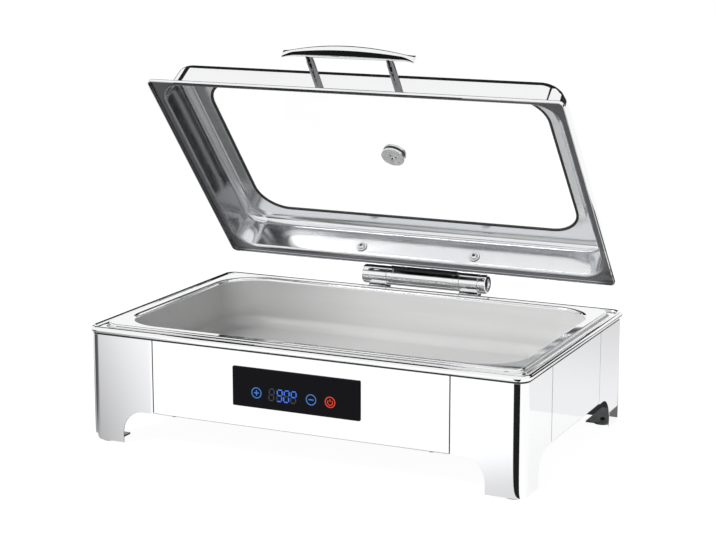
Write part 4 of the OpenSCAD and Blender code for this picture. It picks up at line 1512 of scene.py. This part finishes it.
def fan(x, y, start, stop, reach, z):
    """The corners of a level wedge that spreads from a place, by bearings from the front."""
    apex = Vector((x, y, z))
    corners = [apex]
    for bearing in (start, (start + stop) / 2, stop):
        angle = math.radians(bearing)
        corners.append(apex + Vector((math.sin(angle), -math.cos(angle), 0)) * reach)
    return corners


def stage_sheet(name, corners, material):
    """A flat sheet of the studio."""
    bm = bmesh.new()
    bm.faces.new([bm.verts.new(c) for c in corners])
    mesh = bpy.data.meshes.new(name)
    bm.to_mesh(mesh)
    bm.free()
    mesh.materials.append(material)
    made = bpy.data.objects.new(name, mesh)
    bpy.context.scene.collection.objects.link(made)
    return made


def pale_floor():
    """A floor that looks white and still takes the object's shadow."""
    material = bpy.data.materials.new("pale_floor")
    material.use_nodes = True
    tree = material.node_tree
    tree.nodes.remove(tree.nodes["Principled BSDF"])
    matt = tree.nodes.new("ShaderNodeBsdfDiffuse")
    matt.inputs["Color"].default_value = (0.86, 0.86, 0.86, 1)
    white = even_light(tree, (1, 1, 1), 1.2)
    share = ranged(tree, seen_directly(tree), 0.0, 0.8)
    mixed(tree, share, matt.outputs["BSDF"], white.outputs["Emission"])
    stage_sheet("floor", oblong(-FLOOR_HALF, FLOOR_HALF, -FLOOR_HALF, FLOOR_HALF, 0), material)


def white_room():
    """A world that looks white and lights the object softly."""
    world = bpy.data.worlds.new("studio")
    world.use_nodes = True
    bpy.context.scene.world = world
    tree = world.node_tree
    sky = tree.nodes["Background"]
    sky.inputs["Color"].default_value = (1, 1, 1, 1)
    tree.links.new(ranged(tree, seen_directly(tree), 0.25, 1.0), sky.inputs["Strength"])


def card(name, corners, grey, fade=None, through_glass=False):
    """A sheet that only mirrors see, or clear glass too; it may fade to a last grey."""
    material = bpy.data.materials.new(name)
    material.use_nodes = True
    tree = material.node_tree
    light = even_light(tree, CARD_TINT, grey)
    if fade:
        place = tree.nodes.new("ShaderNodeTexCoord")
        along = tree.nodes.new("ShaderNodeVectorMath")
        along.operation = "DOT_PRODUCT"
        along.inputs[1].default_value = fade["heading"]
        tree.links.new(place.outputs["Object"], along.inputs[0])
        level = ranged(
            tree,
            along.outputs["Value"],
            grey,
            fade["last"],
            fade["start"],
            fade["stop"],
            soft=True,
        )
        tree.links.new(level, light.inputs["Strength"])
    tree.links.new(light.outputs["Emission"], tree.nodes["Material Output"].inputs["Surface"])
    made = stage_sheet(name, corners, material)
    made.visible_camera = False
    made.visible_diffuse = False
    made.visible_shadow = False
    made.visible_transmission = through_glass


pale_floor()
white_room()
card(
    "dark_front_floor",
    fan(HALF_W * MM, -0.194, start=-19.6, stop=40, reach=0.9, z=4 * LAYER),
    BLACK,
)
card("dark_back_card", upright(-3.5, 2.6, 3, 2.6, 1.1, 3), BLACK)
card("dark_ceiling_card", oblong(-3.5, 1.5, 0.6, 2.6, 3), BLACK)
card(
    "dark_back_floor",
    [
        (x, y, 5 * LAYER)
        for x, y in (
            (0.05, 0.7),
            (0.4, 0.72),
            (0.75, 0.8),
            (2.6, 1.6),
            (2.6, 2.6),
            (1.35, 2.6),
            (0.62, 1.4),
            (0.52, 1.22),
            (0.05, 0.95),
        )
    ],
    CHARCOAL,
    through_glass=True,
)
card(
    "grey_strip_behind",
    oblong(-0.4, 0.3, 0.165, 0.6, 6 * LAYER),
    0.15,
    {"heading": (0, 1, 0), "start": 0.17, "stop": 0.6, "last": 1.04},
)
card(
    "dark_flag_below_handle",
    [(-0.3, -0.304, 0.444), (0.1, -0.304, 0.444), (0.1, -0.062, 0.299), (-0.3, -0.062, 0.299)],
    0.01,
)
card(
    "grey_left_floor",
    oblong(-1.0, -0.3, -0.2, 0.6, 5 * LAYER),
    0.4,
    {"heading": (-1, 0, 0), "start": 0.36, "stop": 0.9, "last": 1.04},
)
card(
    "grey_floor_before_left_leg",
    [
        (x, y, 5 * LAYER)
        for x, y in ((-0.196, -0.2), (-0.556, -0.79), (-1.0, -0.79), (-1.0, -0.2))
    ],
    0.1,
    {"heading": (0.793, -0.609, 0), "start": -0.2, "stop": 0.04, "last": 1.04},
)
card("dark_floor_below", oblong(-0.27, 0.27, -0.19, 0.15, 4 * LAYER), CHARCOAL)
card("dark_side_card", upright(1.35, 2.6, 3.6, 1.6, 0, 1.4), CHARCOAL, through_glass=True)
card(
    "grey_floor_at_right",
    oblong(0.3, 0.64, 0.15, 0.8, 5 * LAYER),
    0.94,
    {"heading": (0, 1, 0), "start": 0.2, "stop": 0.7, "last": 0.76},
)
card(
    "grey_floor_before_right_leg",
    oblong(0.0, 0.28, -0.2, -0.6, 3 * LAYER),
    0.8,
    {"heading": (-0.7, -0.714, 0), "start": -0.03, "stop": 0.14, "last": 1.12},
)


# Lamps

LAMPS_FACE = Vector((0, 0, 0.15))


def lamp(name, at, size, watts):
    """A soft lamp that faces the object and isn't mirrored in it."""
    data = bpy.data.lights.new(name, "AREA")
    data.shape = "RECTANGLE"
    data.size, data.size_y = size
    data.energy = watts
    made = bpy.data.objects.new(name, data)
    bpy.context.scene.collection.objects.link(made)
    made.location = at
    made.rotation_mode = "QUATERNION"
    made.rotation_quaternion = (LAMPS_FACE - Vector(at)).to_track_quat("-Z", "Y")
    made.visible_glossy = False


lamp("key_lamp", at=(-1.3, -1.7, 2.4), size=(2.2, 1.6), watts=88)
lamp("fill_lamp", at=(2.0, -0.6, 1.8), size=(1.6, 1.6), watts=2)


# Camera, at the photograph's viewing angle

IMAGE_W = 716.0
FOCAL_PIXELS = 1908.882
SENSOR_W = 36.0
TARGET = Vector((-0.003286, -MID_Y * MM, 0.201406))
DISTANCE = 2.310692
AZIMUTH = math.radians(24.956)
ELEVATION = math.radians(11.918)

back = Vector(
    (
        math.sin(AZIMUTH) * math.cos(ELEVATION),
        -math.cos(AZIMUTH) * math.cos(ELEVATION),
        math.sin(ELEVATION),
    )
)
camera_data = bpy.data.cameras.new("camera")
camera_data.sensor_width = SENSOR_W
camera_data.lens = FOCAL_PIXELS * SENSOR_W / IMAGE_W
camera_data.clip_end = 100.0
camera = bpy.data.objects.new("camera", camera_data)
bpy.context.scene.collection.objects.link(camera)
camera.location = TARGET + back * DISTANCE
camera.rotation_mode = "QUATERNION"
camera.rotation_quaternion = (-back).to_track_quat("-Z", "Y")
bpy.context.scene.camera = camera
bpy.context.scene.view_settings.view_transform = "Standard"
